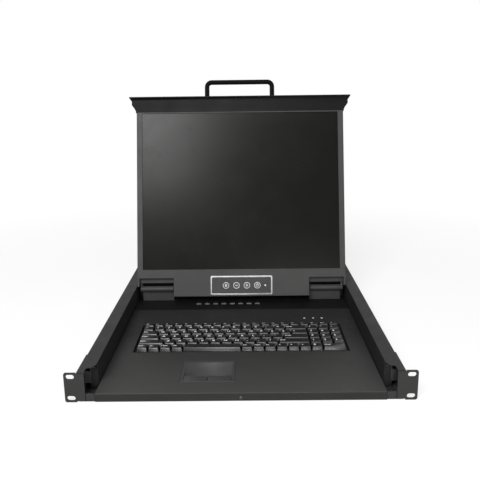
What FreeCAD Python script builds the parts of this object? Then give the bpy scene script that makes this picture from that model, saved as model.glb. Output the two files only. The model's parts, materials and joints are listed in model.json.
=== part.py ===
import FreeCAD, Part
import math
import os

import Sketcher

# Rackmount LCD console drawer, one rack unit high.
# Millimetres. +X is to the user's right, +Y goes into the rack and +Z is up.
# The origin is the centre of the front ears' slot pattern, on the face that meets the rack's rails.
# Pieces of the chassis and the drawer are drawn on the unit's floor (z = 0 at the chassis underside) and
# seated half a unit lower. Pieces of the lid are drawn upright about the hinge axis, with the screen
# facing -Y, and are seated on that axis, leaning back by lid_tilt.

os.makedirs("parts", exist_ok=True)

SIZES = {
    # rack unit and ears
    "unit_height": 43.7,
    "ear_reach": 18.5,
    "ear_overlap": 9.3,
    "ear_thick": 2.0,
    "ear_leg": 60.0,
    "ear_step": 1.5,
    "ear_step_width": 16.3,
    "ear_corner": 3.0,
    "slot_inset": 8.75,
    "slot_spacing_z": 31.75,
    "slot_length": 11.5,
    "slot_width": 6.8,
    # chassis
    "chassis_width": 445.6,
    "rear_space": 45.0,
    "sheet": 1.5,
    "bend": 1.2,
    "flange_width": 21.2,
    "notch_depth": 25.0,
    "notch_front": 15.5,
    "notch_knee": 4.9,
    "notch_corner": 2.0,
    "ear_screw_y": 16.0,
    "ear_screw_rise": 12.0,
    "screw_r": 1.9,
    "screw_play": 0.1,
    "screw_head_r": 3.6,
    "screw_head": 1.8,
    "bracket_pitch_y": 70.0,
    "bracket_rear": 30.0,
    "bracket_hole_r": 2.1,
    # telescopic slides
    "slide_front": 29.0,
    "slide_length": 500.0,
    "slide_lift": 2.6,
    "slide_height": 34.5,
    "slide_standoff": 8.5,
    "slide_thick": 9.8,
    "slide_sheet": 1.2,
    "slide_play": 0.4,
    "slide_nest": 3.8,
    "slide_lip_gap": 1.4,
    "slide_pad_length": 40.0,
    "slide_pad_height": 18.0,
    # drawer
    "tray_lift": 2.3,
    "tray_wall_top": 40.5,
    "hinge_strip": 52.4,
    "housing_gap": 20.0,
    "housing_depth": 187.0,
    "deck_top": 12.4,
    "deck_play": 2.8,
    "seam": 0.8,
    "lip_lift": 0.3,
    "fit_gap": 0.3,
    "housing_top": 41.9,
    "vent_length": 34.0,
    "vent_width": 3.0,
    "vent_pitch": 9.0,
    "vent_count": 14,
    # keyboard
    "key_pitch": 18.6,
    "key_columns": 18,
    "key_rows": 5,
    "key_gap": 1.0,
    "key_side_taper": 1.4,
    "key_front_taper": 2.6,
    "key_rear_taper": 0.9,
    "key_top": 17.2,
    "key_foot": 10.0,
    "function_keys": 20,
    "function_depth": 14.0,
    "well_margin": 4.0,
    "well_margin_y": 3.4,
    "light_gap": 25.6,
    "frame_floor": 5.3,
    # touchpad
    "pad_x": -47.7,
    "pad_front": 30.4,
    "pad_width": 78.0,
    "pad_depth": 67.0,
    "pad_rim": 4.0,
    "pad_recess": 1.2,
    "pad_proud": 0.3,
    "pad_well": 2.4,
    "pad_travel": 0.6,
    "pad_button_depth": 17.0,
    # status lights and port buttons
    "light_x": 128.3,
    "light_back": 98.0,
    "light_pitch": 15.4,
    "light_width": 3.2,
    "light_depth": 2.0,
    "port_x": -25.8,
    "port_back": 20.4,
    "port_pitch": 16.0,
    "port_button_width": 9.0,
    "port_button_depth": 4.6,
    "button_proud": 0.9,
    "button_travel": 0.8,
    "switch_height": 0.9,
    "switch_size": 3.0,
    # latches
    "latch_depth": 26.0,
    "latch_lift": 1.9,
    "latch_travel": 4.0,
    # hinge
    "hinge_z": 36.6,
    "barrel_r": 5.5,
    "pin_r": 2.5,
    "pin_play": 0.06,
    "bay_play": 2.0,
    "arm_thick": 3.0,
    "arm_height": 74.0,
    "arm_front": 4.2,
    "leaf_width": 42.0,
    "hinge_foot": 5.0,
    # lid
    "lid_tilt": 16.16,
    "lid_play": 2.3,
    "lid_front": 16.8,
    "lid_split": 8.0,
    "lid_back": 6.4,
    "bezel_side": 10.6,
    "glass_height": 302.0,
    "glass_bottom": 37.2,
    "glass_thick": 1.2,
    "glass_lap": 2.2,
    "panel_lap": 4.4,
    "panel_thick": 9.5,
    "bezel_top": 2.0,
    "bay_top": 21.0,
    "bay_bottom": 11.6,
    "bay_side": 69.8,
    "chin_drop": 14.0,
    "cheek_width": 3.8,
    "cheek_bottom": 5.0,
    # on-screen menu panel in the chin
    "osd_width": 119.0,
    "osd_height": 36.5,
    "osd_z": 6.2,
    "osd_line": 3.0,
    "osd_corner": 3.0,
    "osd_proud": 0.4,
    "osd_button_r": 6.3,
    "osd_pitch": 20.0,
    "osd_button_x": 0.5,
    "osd_light_x": 45.5,
    "osd_light_size": 2.2,
    "osd_button_proud": 0.3,
    "menu_board_gap": 4.4,
    "menu_travel": 0.6,
    # fascia and handle
    "fascia_play": 1.0,
    "fascia_thick": 2.0,
    "fascia_clear": 0.6,
    "lid_gap": 0.8,
    "block_height": 26.8,
    "block_chamfer": 2.4,
    "block_wall": 2.5,
    "block_shoulder": 4.0,
    "block_back": 4.9,
    "handle_width": 135.0,
    "handle_reach": 35.0,
    "handle_rod": 9.0,
    "handle_bend": 9.0,
    "handle_y": -8.4,
    "handle_tap": 12.0,
    # circuit boards, power supply and rear connectors
    "board_z": 5.8,
    "board_thick": 1.6,
    "board_margin": 8.0,
    "post_r": 2.5,
    "chip_size": 18.0,
    "chip_height": 2.0,
    "chip_pitch": 40.0,
    "chip_back": 62.0,
    "control_width": 150.0,
    "control_height": 100.0,
    "control_z": 120.0,
    "connector_inset": 20.2,
    "connector_pitch": 28.0,
    "connector_z": 14.0,
    "connector_width": 16.6,
    "connector_height": 8.2,
    "connector_slant": 1.6,
    "connector_depth": 12.0,
    "connector_reach": 5.0,
    "supply_inset": 10.2,
    "supply_width": 120.0,
    "supply_back": 67.8,
    "core_height": 24.0,
    "capacitor_r": 9.0,
    "inlet_inset": 50.2,
    "inlet_z": 22.0,
    "inlet_width": 27.0,
    "inlet_height": 20.0,
    "inlet_depth": 16.0,
    "inlet_rim": 3.0,
    "pin_blade": 2.0,
    "lip_screw_z": 4.6,
    "lip_screw_r": 2.2,
    "lip_screw_head": 0.8,
}


class Formula:
    """A size, or sum of sizes: its number now, and the expression that reads it from the sheet."""

    def __init__(self, value, text=None):
        self.value = float(value)
        self.text = str(value) if text is None else text

    def join(self, other, sign, value):
        return Formula(value, f"({self.text} {sign} {other.text})")

    def __add__(self, other):
        other = as_formula(other)
        return self.join(other, "+", self.value + other.value)

    def __sub__(self, other):
        other = as_formula(other)
        return self.join(other, "-", self.value - other.value)

    def __mul__(self, other):
        other = as_formula(other)
        return self.join(other, "*", self.value * other.value)

    def __truediv__(self, other):
        other = as_formula(other)
        return self.join(other, "/", self.value / other.value)

    def __radd__(self, other):
        return as_formula(other) + self

    def __rsub__(self, other):
        return as_formula(other) - self

    def __rmul__(self, other):
        return as_formula(other) * self

    def __neg__(self):
        return Formula(-self.value, f"(-1 * {self.text})")


def as_formula(thing):
    return thing if isinstance(thing, Formula) else Formula(thing)


class Sheet:
    """The spreadsheet of driving sizes, read by name."""

    def __init__(self, document, sizes):
        self.cells = document.addObject("Spreadsheet::Sheet", "Sizes")
        for row, (alias, value) in enumerate(sizes.items(), start=1):
            self.cells.set(f"A{row}", alias)
            self.cells.set(f"B{row}", str(value))
            self.cells.setAlias(f"B{row}", alias)
        document.recompute()

    def __getattr__(self, alias):
        return Formula(getattr(self.cells, alias), "Sizes." + alias)


doc = FreeCAD.newDocument("ConsoleDrawer")
S = Sheet(doc, SIZES)
NODES = []
SIDES = {"left": -1, "right": 1}
ZERO = Formula(0)


# ---------- binding and placing ----------

def bind(thing, prop, formula):
    """Tie a property to the sheet, or set it where it is a plain number."""
    thing.setExpression(prop, as_formula(formula).text)


def mirrored(side, low, high):
    """A span in X on the right side, or its mirror image on the left."""
    return (low, high) if side > 0 else (-as_formula(high), -as_formula(low))


def seat(thing, label, lid=False):
    """Name a finished piece and put it in the drawer's own frame."""
    thing.Label = label
    if lid:
        thing.Placement.Rotation = FreeCAD.Rotation(FreeCAD.Vector(1, 0, 0), -S.lid_tilt.value)
        bind(thing, "Placement.Rotation.Angle", -S.lid_tilt)
        bind(thing, "Placement.Base.y", HINGE_Y)
        bind(thing, "Placement.Base.z", S.hinge_z - S.unit_height / 2)
    else:
        bind(thing, "Placement.Base.z", -S.unit_height / 2)
    NODES.append(thing)
    return thing


# ---------- primitives and booleans ----------

def block(x, y, z, name="Block"):
    """A box between three (low, high) pairs."""
    box = doc.addObject("Part::Box", name)
    for prop, axis, (low, high) in zip(("Length", "Width", "Height"), "xyz", (x, y, z)):
        bind(box, prop, as_formula(high) - low)
        bind(box, f"Placement.Base.{axis}", low)
    return box


TURNS = {
    "x": FreeCAD.Rotation(FreeCAD.Vector(0, 1, 0), 90),
    "y": FreeCAD.Rotation(FreeCAD.Vector(1, 0, 0), -90),
    "z": FreeCAD.Rotation(),
}


def rod(axis, start, radius, length, name="Rod"):
    """A cylinder from a start point along +X, +Y or +Z."""
    cylinder = doc.addObject("Part::Cylinder", name)
    cylinder.Placement.Rotation = TURNS[axis]
    bind(cylinder, "Radius", radius)
    bind(cylinder, "Height", length)
    for letter, place in zip("xyz", start):
        bind(cylinder, f"Placement.Base.{letter}", place)
    return cylinder


def spacer(axis, start, radius, length):
    """A hexagonal spacer from a start point along +X, +Y or +Z."""
    prism = doc.addObject("Part::Prism", "Spacer")
    prism.Polygon = 6
    prism.Placement.Rotation = TURNS[axis]
    bind(prism, "Circumradius", radius)
    bind(prism, "Height", length)
    for letter, place in zip("xyz", start):
        bind(prism, f"Placement.Base.{letter}", place)
    return prism


def fuse(*pieces):
    joined = doc.addObject("Part::MultiFuse", "Joined")
    joined.Shapes = list(pieces)
    return joined


def cut(base, *tools):
    """The base less all the tools."""
    rest = doc.addObject("Part::Cut", "Rest")
    rest.Base = base
    rest.Tool = tools[0] if len(tools) == 1 else fuse(*tools)
    return rest


def group(*pieces):
    """Separate solids that are one node."""
    together = doc.addObject("Part::Compound", "Group")
    together.Links = list(pieces)
    return together


# ---------- bodies and sketches ----------

def new_body(name):
    return doc.addObject("PartDesign::Body", name)


def sketch_on(body, plane, offset=0):
    """A sketch on the body's own XY, XZ or YZ plane, moved by the offset along +Z, +Y or +X."""
    sketch = body.newObject("Sketcher::SketchObject", "Sketch")
    support = [item for item in body.Origin.OriginFeatures if item.Role == plane + "_Plane"][0]
    sketch.AttachmentSupport = [(support, "")]
    sketch.MapMode = "FlatFace"
    bind(sketch, "AttachmentOffset.Base.z", -as_formula(offset) if plane == "XZ" else offset)
    return sketch


def fix(sketch, element, end, x, y):
    """Fix one point of a sketch element by its distances from the origin."""
    for kind, formula in (("DistanceX", as_formula(x)), ("DistanceY", as_formula(y))):
        index = sketch.addConstraint(Sketcher.Constraint(kind, -1, 1, element, end, formula.value))
        bind(sketch, f"Constraints[{index}]", formula)


def outline(sketch, points):
    """A closed run of straight lines through the points."""
    first = sketch.GeometryCount
    count = len(points)
    places = [FreeCAD.Vector(as_formula(x).value, as_formula(y).value, 0) for x, y in points]
    for turn in range(count):
        sketch.addGeometry(Part.LineSegment(places[turn], places[(turn + 1) % count]), False)
    for turn in range(count):
        following = first + (turn + 1) % count
        sketch.addConstraint(Sketcher.Constraint("Coincident", first + turn, 2, following, 1))
    for turn, (x, y) in enumerate(points):
        fix(sketch, first + turn, 1, x, y)
    return sketch


def rectangle(sketch, x, y):
    """A rectangle between two (low, high) pairs."""
    return outline(sketch, [(x[0], y[0]), (x[1], y[0]), (x[1], y[1]), (x[0], y[1])])


def circle(sketch, x, y, radius):
    spot = FreeCAD.Vector(as_formula(x).value, as_formula(y).value, 0)
    circle = Part.Circle(spot, FreeCAD.Vector(0, 0, 1), as_formula(radius).value)
    round_one = sketch.addGeometry(circle, False)
    index = sketch.addConstraint(Sketcher.Constraint("Radius", round_one, as_formula(radius).value))
    bind(sketch, f"Constraints[{index}]", radius)
    fix(sketch, round_one, 3, x, y)
    return sketch


def slot(sketch, x, y, length, width):
    """A slot along the sketch's first axis, centred on (x, y)."""
    radius = width / 2
    reach = length / 2 - radius
    centre = FreeCAD.Vector(as_formula(x).value, as_formula(y).value, 0)
    up = FreeCAD.Vector(0, radius.value, 0)
    along = FreeCAD.Vector(reach.value, 0, 0)
    corners = [centre - along + up, centre + along + up, centre + along - up, centre - along - up]
    tip = FreeCAD.Vector(radius.value, 0, 0)
    pieces = [
        Part.LineSegment(corners[0], corners[1]),
        Part.Arc(corners[1], centre + along + tip, corners[2]),
        Part.LineSegment(corners[2], corners[3]),
        Part.Arc(corners[3], centre - along - tip, corners[0]),
    ]
    top, right, bottom, left = (sketch.addGeometry(piece, False) for piece in pieces)
    joins = ((top, 2, right, 2), (bottom, 1, right, 1), (bottom, 2, left, 2), (top, 1, left, 1))
    for line, start, arc, end in joins:
        sketch.addConstraint(Sketcher.Constraint("Tangent", line, start, arc, end))
    index = sketch.addConstraint(Sketcher.Constraint("Radius", right, radius.value))
    bind(sketch, f"Constraints[{index}]", radius)
    fix(sketch, right, 3, x + reach, y)
    fix(sketch, left, 3, x - reach, y)
    return sketch


def pad(body, sketch, length, back=False, middle=False):
    """Raise a sketch along its plane's normal, or against it."""
    feature = body.newObject("PartDesign::Pad", "Pad")
    feature.Profile = sketch
    feature.Reversed = back
    feature.Midplane = middle
    bind(feature, "Length", length)
    return feature


def pocket(body, sketch, length, back=False):
    """Cut a sketch into the body, against its plane's normal, or along it."""
    doc.recompute()
    before = body.Shape.Volume
    feature = body.newObject("PartDesign::Pocket", "Pocket")
    feature.Profile = sketch
    feature.Reversed = back
    bind(feature, "Length", length)
    doc.recompute()
    if not body.Shape.Volume < before:
        raise ValueError(f"{body.Label}: a pocket cut nothing")
    return feature


def repeat(body, feature, axis, length, count):
    """A row of copies of a feature along one of the body's own axes."""
    row = body.newObject("PartDesign::LinearPattern", "Row")
    row.Originals = [feature]
    direction = [item for item in body.Origin.OriginFeatures if item.Role == axis + "_Axis"][0]
    row.Direction = (direction, [""])
    bind(row, "Length", length)
    bind(row, "Occurrences", count)
    body.Tip = row
    return row


def along(edge, axis):
    """Whether an edge is straight and runs along an axis."""
    if not isinstance(edge.Curve, (Part.Line, Part.LineSegment)):
        return False
    return abs(abs(edge.tangentAt(edge.FirstParameter).dot(axis)) - 1) < 1e-6


def round_edges(body, radius, chosen):
    """Fillet the edges of the body's present shape that the test picks."""
    doc.recompute()
    base = body.Tip
    names = [f"Edge{index}" for index, edge in enumerate(base.Shape.Edges, start=1) if chosen(edge)]
    if not names:
        raise ValueError(f"{body.Label}: no edge to round")
    feature = body.newObject("PartDesign::Fillet", "Fillet")
    feature.Base = (base, names)
    bind(feature, "Radius", radius)
    return feature


X_AXIS = FreeCAD.Vector(1, 0, 0)
Y_AXIS = FreeCAD.Vector(0, 1, 0)
Z_AXIS = FreeCAD.Vector(0, 0, 1)


def near(value, formula):
    return abs(value - as_formula(formula).value) < 1e-4

# ---------- places that several pieces share ----------

# across, from the middle
WALL = S.chassis_width / 2
WALL_INSIDE = WALL - S.sheet
EAR_OUTER = WALL + S.ear_reach
EAR_INNER = WALL - S.ear_overlap
SLOT_X = EAR_OUTER - S.slot_inset
FLANGE_EDGE = WALL - S.flange_width
SLIDE_BACK = WALL_INSIDE - S.slide_standoff
TRAY_WALL = SLIDE_BACK - S.slide_thick
DECK_EDGE = TRAY_WALL - S.deck_play
WELL_EDGE = S.key_columns * S.key_pitch / 2 + S.well_margin
PAD_LEFT = S.pad_x - S.pad_width / 2
PAD_RIGHT = S.pad_x + S.pad_width / 2
LID_EDGE = FLANGE_EDGE - S.lid_play
GLASS_EDGE = LID_EDGE - S.bezel_side
CHIN_EDGE = LID_EDGE - S.bay_side
CHEEK_EDGE = LID_EDGE - S.cheek_width
ARM_OUTER = CHEEK_EDGE - 2 * S.fit_gap
ARM_INNER = ARM_OUTER - S.arm_thick
HINGE_OUTER = ARM_INNER - S.fit_gap
HINGE_INNER = CHIN_EDGE + S.bay_play
FASCIA_EDGE = EAR_INNER - S.fascia_play
BLOCK_EDGE = FASCIA_EDGE - S.block_shoulder
HANDLE_LEG = S.handle_width / 2 - S.handle_rod / 2
FIRST_PORT_X = S.connector_inset - DECK_EDGE
SUPPLY_RIGHT = DECK_EDGE - S.supply_inset
INLET_X = DECK_EDGE - S.inlet_inset

# up the lid, from the hinge axis
GLASS_TOP = S.glass_bottom + S.glass_height
LID_TOP = GLASS_TOP + S.bezel_top
FASCIA_INSIDE = LID_TOP + S.block_height
FASCIA_TOP = FASCIA_INSIDE + S.fascia_thick

# front to back: the fascia's inner face shuts against the ears' plane, so the lid's height places the hinge
HINGE_Y = FASCIA_INSIDE
LIP_FRONT = -S.ear_thick
LIP_BACK = LIP_FRONT + S.sheet
LIP_POST = LIP_BACK + S.sheet
PAD_REAR = S.pad_front + S.pad_depth
LIGHT_Y = HINGE_Y - S.light_back
WELL_REAR = LIGHT_Y - S.light_gap
KEYS_FRONT = WELL_REAR - S.well_margin_y - S.function_depth - S.key_rows * S.key_pitch
WELL_FRONT = KEYS_FRONT - S.well_margin_y
DECK_REAR = HINGE_Y - S.hinge_strip
KVM_FRONT = DECK_REAR + S.seam
PORT_Y = HINGE_Y - S.port_back
HOUSING_FRONT = HINGE_Y + S.housing_gap
DRAWER_REAR = HOUSING_FRONT + S.housing_depth
HOUSING_REAR = DRAWER_REAR - S.sheet
CHASSIS_REAR = DRAWER_REAR + S.rear_space

# through the lid, from the hinge axis
LID_FACE = -S.lid_front
PLATE_BACK = LID_FACE + S.sheet
GLASS_BACK = PLATE_BACK + S.glass_thick
PANEL_BACK = GLASS_BACK + S.panel_thick
COVER_INSIDE = S.lid_back - S.sheet

# heights, from the chassis underside
MID_HEIGHT = S.unit_height / 2
TRAY_FLOOR = S.tray_lift + S.sheet
DECK_UNDER = S.deck_top - S.sheet
PAD_FLOOR = S.deck_top + S.pad_proud - S.pad_recess
BOARD_TOP = S.board_z + S.board_thick


# ---------- chassis ----------

def ear_screw_spots():
    """The (y, z) places of the screws that hold each ear bracket to its wall."""
    yield S.ear_screw_y, MID_HEIGHT - S.ear_screw_rise
    yield S.ear_leg - S.ear_screw_y, MID_HEIGHT + S.ear_screw_rise


def chassis_side(name, side):
    """A side wall with its in-turned top flange, notched in front for the lid's end."""
    body = new_body("Chassis" + name.title())
    top = S.unit_height
    under = top - S.sheet
    section = [
        (WALL_INSIDE, ZERO), (WALL, ZERO), (WALL, top), (FLANGE_EDGE, top), (FLANGE_EDGE, under),
        (WALL_INSIDE, under),
    ]
    wall = outline(sketch_on(body, "XZ"), [(side * x, z) for x, z in section])
    pad(body, wall, CHASSIS_REAR, back=True)
    corners = [
        (FLANGE_EDGE - S.sheet, -S.sheet), (EAR_INNER, -S.sheet),
        (EAR_INNER, S.notch_front - S.notch_corner), (EAR_INNER - S.notch_corner, S.notch_front),
        (FLANGE_EDGE + S.notch_knee, S.notch_front), (FLANGE_EDGE, S.notch_depth),
        (FLANGE_EDGE - S.sheet, S.notch_depth),
    ]
    notch = outline(sketch_on(body, "XY", top), [(side * x, y) for x, y in corners])
    pocket(body, notch, 2 * S.sheet)
    holes = sketch_on(body, "YZ", side * (WALL + S.sheet))
    for y, z in ear_screw_spots():
        circle(holes, y, z, S.screw_r + S.screw_play)
    for y in (CHASSIS_REAR - S.bracket_rear, CHASSIS_REAR - S.bracket_rear - S.bracket_pitch_y):
        circle(holes, y, MID_HEIGHT, S.bracket_hole_r)
    pocket(body, holes, 3 * S.sheet, back=side < 0)
    round_edges(body, S.bend, lambda edge: along(edge, Y_AXIS) and near(abs(edge.CenterOfMass.x), WALL))
    return body


def make_chassis_pan():
    """The open tray that fills the rack's bay: a floor sheet welded between two flanged side walls."""
    floor = block((-WALL_INSIDE, WALL_INSIDE), (ZERO, CHASSIS_REAR), (ZERO, S.sheet))
    walls = [chassis_side(name, side) for name, side in SIDES.items()]
    return seat(group(floor, *walls), "chassis_pan")


def is_ear_corner(edge):
    return along(edge, Y_AXIS) and near(abs(edge.CenterOfMass.x), EAR_OUTER)


def make_ear(name, side):
    """A bracket with a slotted plate that meets the rack's rail and a leg along the outside of the wall."""
    body = new_body("Ear" + name.title())
    step_x = EAR_OUTER - S.ear_step_width
    low = S.ear_step
    high = S.unit_height - S.ear_step
    corners = [
        (EAR_INNER, low), (step_x, low), (step_x, ZERO), (EAR_OUTER, ZERO), (EAR_OUTER, S.unit_height),
        (step_x, S.unit_height), (step_x, high), (EAR_INNER, high),
    ]
    pad(body, outline(sketch_on(body, "XZ"), [(side * x, z) for x, z in corners]), S.ear_thick)
    leg = mirrored(side, WALL, WALL + S.ear_thick)
    pad(body, rectangle(sketch_on(body, "XZ"), leg, (low, high)), S.ear_leg, back=True)
    slots = sketch_on(body, "XZ")
    for z in (MID_HEIGHT - S.slot_spacing_z / 2, MID_HEIGHT + S.slot_spacing_z / 2):
        slot(slots, side * SLOT_X, z, S.slot_length, S.slot_width)
    pocket(body, slots, S.ear_thick, back=True)
    holes = sketch_on(body, "YZ", side * (WALL - S.sheet))
    for y, z in ear_screw_spots():
        circle(holes, y, z, S.screw_r + S.screw_play)
    pocket(body, holes, S.ear_thick + 2 * S.sheet, back=side > 0)
    round_edges(body, S.ear_corner, is_ear_corner)
    return seat(body, "ear_" + name)


def make_ear_screws():
    """Pan-head screws through both ear legs and walls."""
    screws = []
    for side in SIDES.values():
        outside = WALL + S.ear_thick
        head_x = mirrored(side, outside, outside + S.screw_head)
        shank_x = mirrored(side, WALL_INSIDE - S.screw_head, outside)
        for y, z in ear_screw_spots():
            head = rod("x", (head_x[0], y, z), S.screw_head_r, head_x[1] - head_x[0])
            shank = rod("x", (shank_x[0], y, z), S.screw_r, shank_x[1] - shank_x[0])
            screws.append(fuse(head, shank))
    return seat(group(*screws), "ear_screws")


# ---------- telescopic slides ----------

def channel(body, side, back, face, lip, nest):
    """A C-shaped slide member: its web lies between back and face, and its lips reach to lip."""
    low = S.slide_lift + nest
    high = S.slide_lift + S.slide_height - nest
    corners = [
        (back, low), (back, high), (lip, high), (lip, high - S.slide_sheet), (face, high - S.slide_sheet),
        (face, low + S.slide_sheet), (lip, low + S.slide_sheet), (lip, low),
    ]
    section = outline(sketch_on(body, "XZ", S.slide_front), [(side * x, z) for x, z in corners])
    pad(body, section, S.slide_length, back=True)


def make_slides(name, side):
    """The outer member on the wall, the middle one that rides in it and the inner one on the tray's wall."""
    lip = TRAY_WALL + S.slide_lip_gap
    outer_face = SLIDE_BACK - S.slide_sheet
    middle_back = outer_face - S.slide_play
    middle_face = middle_back - S.slide_sheet
    inner_lip = middle_face - 2 * S.slide_play

    outer = new_body("OuterSlide" + name.title())
    channel(outer, side, SLIDE_BACK, outer_face, lip, ZERO)
    stand_offs = sketch_on(outer, "YZ", side * SLIDE_BACK)
    for share in (0, 0.5, 1):
        low = S.slide_front + share * (S.slide_length - S.slide_pad_length)
        rectangle(stand_offs, (low, low + S.slide_pad_length),
                  (MID_HEIGHT - S.slide_pad_height / 2, MID_HEIGHT + S.slide_pad_height / 2))
    pad(outer, stand_offs, WALL_INSIDE - SLIDE_BACK, back=side < 0)
    seat(outer, "outer_slide_" + name)

    middle = new_body("MiddleSlide" + name.title())
    channel(middle, side, middle_back, middle_face, lip, S.slide_nest)
    seat(middle, "middle_slide_" + name)

    inner = new_body("InnerSlide" + name.title())
    channel(inner, side, TRAY_WALL, TRAY_WALL + S.slide_sheet, inner_lip, 2 * S.slide_nest)
    seat(inner, "inner_slide_" + name)


# ---------- drawer ----------

def make_tray():
    """The drawer's folded sheet: a floor, two side walls, a front flange and a shelf under each latch."""
    body = new_body("Tray")
    inside = TRAY_WALL - S.sheet
    section = [
        (-TRAY_WALL, S.tray_lift), (TRAY_WALL, S.tray_lift),
        (TRAY_WALL, S.tray_wall_top), (inside, S.tray_wall_top),
        (inside, TRAY_FLOOR), (-inside, TRAY_FLOOR),
        (-inside, S.tray_wall_top), (-TRAY_WALL, S.tray_wall_top),
    ]
    pad(body, outline(sketch_on(body, "XZ", S.slide_front), section), DRAWER_REAR - S.slide_front, back=True)
    shelf = EAR_INNER - S.seam
    shelf_front = S.latch_travel + S.fit_gap
    shelf_rear = S.slide_front - S.seam
    right = [(DECK_EDGE, LIP_BACK), (DECK_EDGE, shelf_front), (shelf, shelf_front), (shelf, shelf_rear),
             (TRAY_WALL, shelf_rear), (TRAY_WALL, S.slide_front)]
    left = [(-x, y) for x, y in reversed(right)]
    pad(body, outline(sketch_on(body, "XY", S.tray_lift), right + left), S.sheet)
    flange = rectangle(sketch_on(body, "XY", TRAY_FLOOR), (-DECK_EDGE, DECK_EDGE), (LIP_BACK, LIP_POST))
    pad(body, flange, DECK_UNDER - TRAY_FLOOR)
    return seat(body, "tray")


def side_flanges(body, front, rear):
    """Two legs that stand a cover on the tray's floor."""
    legs = sketch_on(body, "XZ", front)
    for side in SIDES.values():
        rectangle(legs, mirrored(side, DECK_EDGE - S.sheet, DECK_EDGE), (TRAY_FLOOR, DECK_UNDER))
    pad(body, legs, rear - front, back=True)


def make_deck_cover():
    """The top sheet round the keyboard, folded down in front as the drawer's lip."""
    body = new_body("DeckCover")
    section = [
        (LIP_FRONT, S.lip_lift), (LIP_BACK, S.lip_lift), (LIP_BACK, DECK_UNDER), (DECK_REAR, DECK_UNDER),
        (DECK_REAR, S.deck_top), (LIP_FRONT, S.deck_top),
    ]
    pad(body, outline(sketch_on(body, "YZ"), section), 2 * DECK_EDGE, middle=True)
    side_flanges(body, LIP_POST + S.fit_gap, DECK_REAR)
    openings = sketch_on(body, "XY", S.deck_top)
    rectangle(openings, (-WELL_EDGE, WELL_EDGE), (WELL_FRONT, WELL_REAR))
    rectangle(openings, (PAD_LEFT - S.fit_gap, PAD_RIGHT + S.fit_gap),
              (S.pad_front - S.fit_gap, PAD_REAR + S.fit_gap))
    for turn in (-1, 0, 1):
        rectangle(openings, *light_span(turn, S.fit_gap))
    pocket(body, openings, S.sheet)
    round_edges(body, S.bend, is_lip_fold)
    return seat(body, "deck_cover")


def is_lip_fold(edge):
    """The long outer edge where the deck turns down into the lip."""
    middle = edge.CenterOfMass
    return along(edge, X_AXIS) and near(middle.y, LIP_FRONT) and near(middle.z, S.deck_top)


def port_places():
    """The X of each port button."""
    for turn in range(8):
        yield S.port_x + (turn - 3.5) * S.port_pitch


def make_kvm_cover():
    """The strip behind the keyboard, with an opening for each port button."""
    body = new_body("KvmCover")
    plate = rectangle(sketch_on(body, "XY", DECK_UNDER), (-DECK_EDGE, DECK_EDGE), (KVM_FRONT, HOUSING_FRONT))
    pad(body, plate, S.sheet)
    side_flanges(body, KVM_FRONT, HOUSING_FRONT)
    openings = sketch_on(body, "XY", S.deck_top)
    half_width = S.port_button_width / 2 + S.fit_gap
    half_depth = S.port_button_depth / 2 + S.fit_gap
    for x in port_places():
        rectangle(openings, (x - half_width, x + half_width), (PORT_Y - half_depth, PORT_Y + half_depth))
    pocket(body, openings, S.sheet)
    return seat(body, "kvm_cover")


def make_keyboard_frame():
    """The keyboard's base: a floor under the keys and walls that meet the edges of the well."""
    body = new_body("KeyboardFrame")
    base = rectangle(sketch_on(body, "XY", S.frame_floor), (-WELL_EDGE - S.sheet, WELL_EDGE + S.sheet),
                     (WELL_FRONT - S.sheet, WELL_REAR + S.sheet))
    pad(body, base, DECK_UNDER - S.frame_floor)
    inside = rectangle(sketch_on(body, "XY", DECK_UNDER), (-WELL_EDGE, WELL_EDGE), (WELL_FRONT, WELL_REAR))
    pocket(body, inside, DECK_UNDER - S.frame_floor - S.sheet)
    return seat(body, "keyboard_frame")


def make_keyboard_membrane():
    """The contact sheet and its backing plate, between the keyboard's base and the tray."""
    sheet = block((-WELL_EDGE, WELL_EDGE), (WELL_FRONT, WELL_REAR), (TRAY_FLOOR, S.frame_floor))
    return seat(group(sheet), "keyboard_membrane")


def pad_button_span(side):
    """The X span of a touchpad button: the two share the width inside the rim."""
    if side < 0:
        return PAD_LEFT + S.pad_rim + S.fit_gap, S.pad_x - S.seam / 2
    return S.pad_x + S.seam / 2, PAD_RIGHT - S.pad_rim - S.fit_gap


def make_touchpad():
    """A module that stands on the tray: a bevelled rim, a sunk sensor face and a well for two buttons."""
    body = new_body("Touchpad")
    top = S.deck_top + S.pad_proud
    pad(body, rectangle(sketch_on(body, "XY", TRAY_FLOOR), (PAD_LEFT, PAD_RIGHT), (S.pad_front, PAD_REAR)),
        top - TRAY_FLOOR)
    within = (PAD_LEFT + S.pad_rim, PAD_RIGHT - S.pad_rim)
    recess = rectangle(sketch_on(body, "XY", top), within, (S.pad_front + S.pad_rim, PAD_REAR - S.pad_rim))
    pocket(body, recess, S.pad_recess)
    well_rear = S.pad_front + S.pad_rim + S.pad_button_depth
    well = rectangle(sketch_on(body, "XY", PAD_FLOOR), within, (S.pad_front + S.pad_rim, well_rear))
    pocket(body, well, S.pad_well)
    hollow = rectangle(sketch_on(body, "XY", TRAY_FLOOR), (PAD_LEFT + S.sheet, PAD_RIGHT - S.sheet),
                       (S.pad_front + S.sheet, PAD_REAR - S.sheet))
    pocket(body, hollow, PAD_FLOOR - S.pad_well - S.sheet - TRAY_FLOOR, back=True)
    return seat(body, "touchpad")


def make_pad_button(name, side):
    """A rocker of the touchpad, flush with its face."""
    front = S.pad_front + S.pad_rim + S.fit_gap
    rear = S.pad_front + S.pad_rim + S.pad_button_depth - S.fit_gap
    button = block(pad_button_span(side), (front, rear), (PAD_FLOOR - S.pad_well + S.pad_travel, PAD_FLOOR))
    return seat(group(button), "touch_button_" + name)


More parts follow.
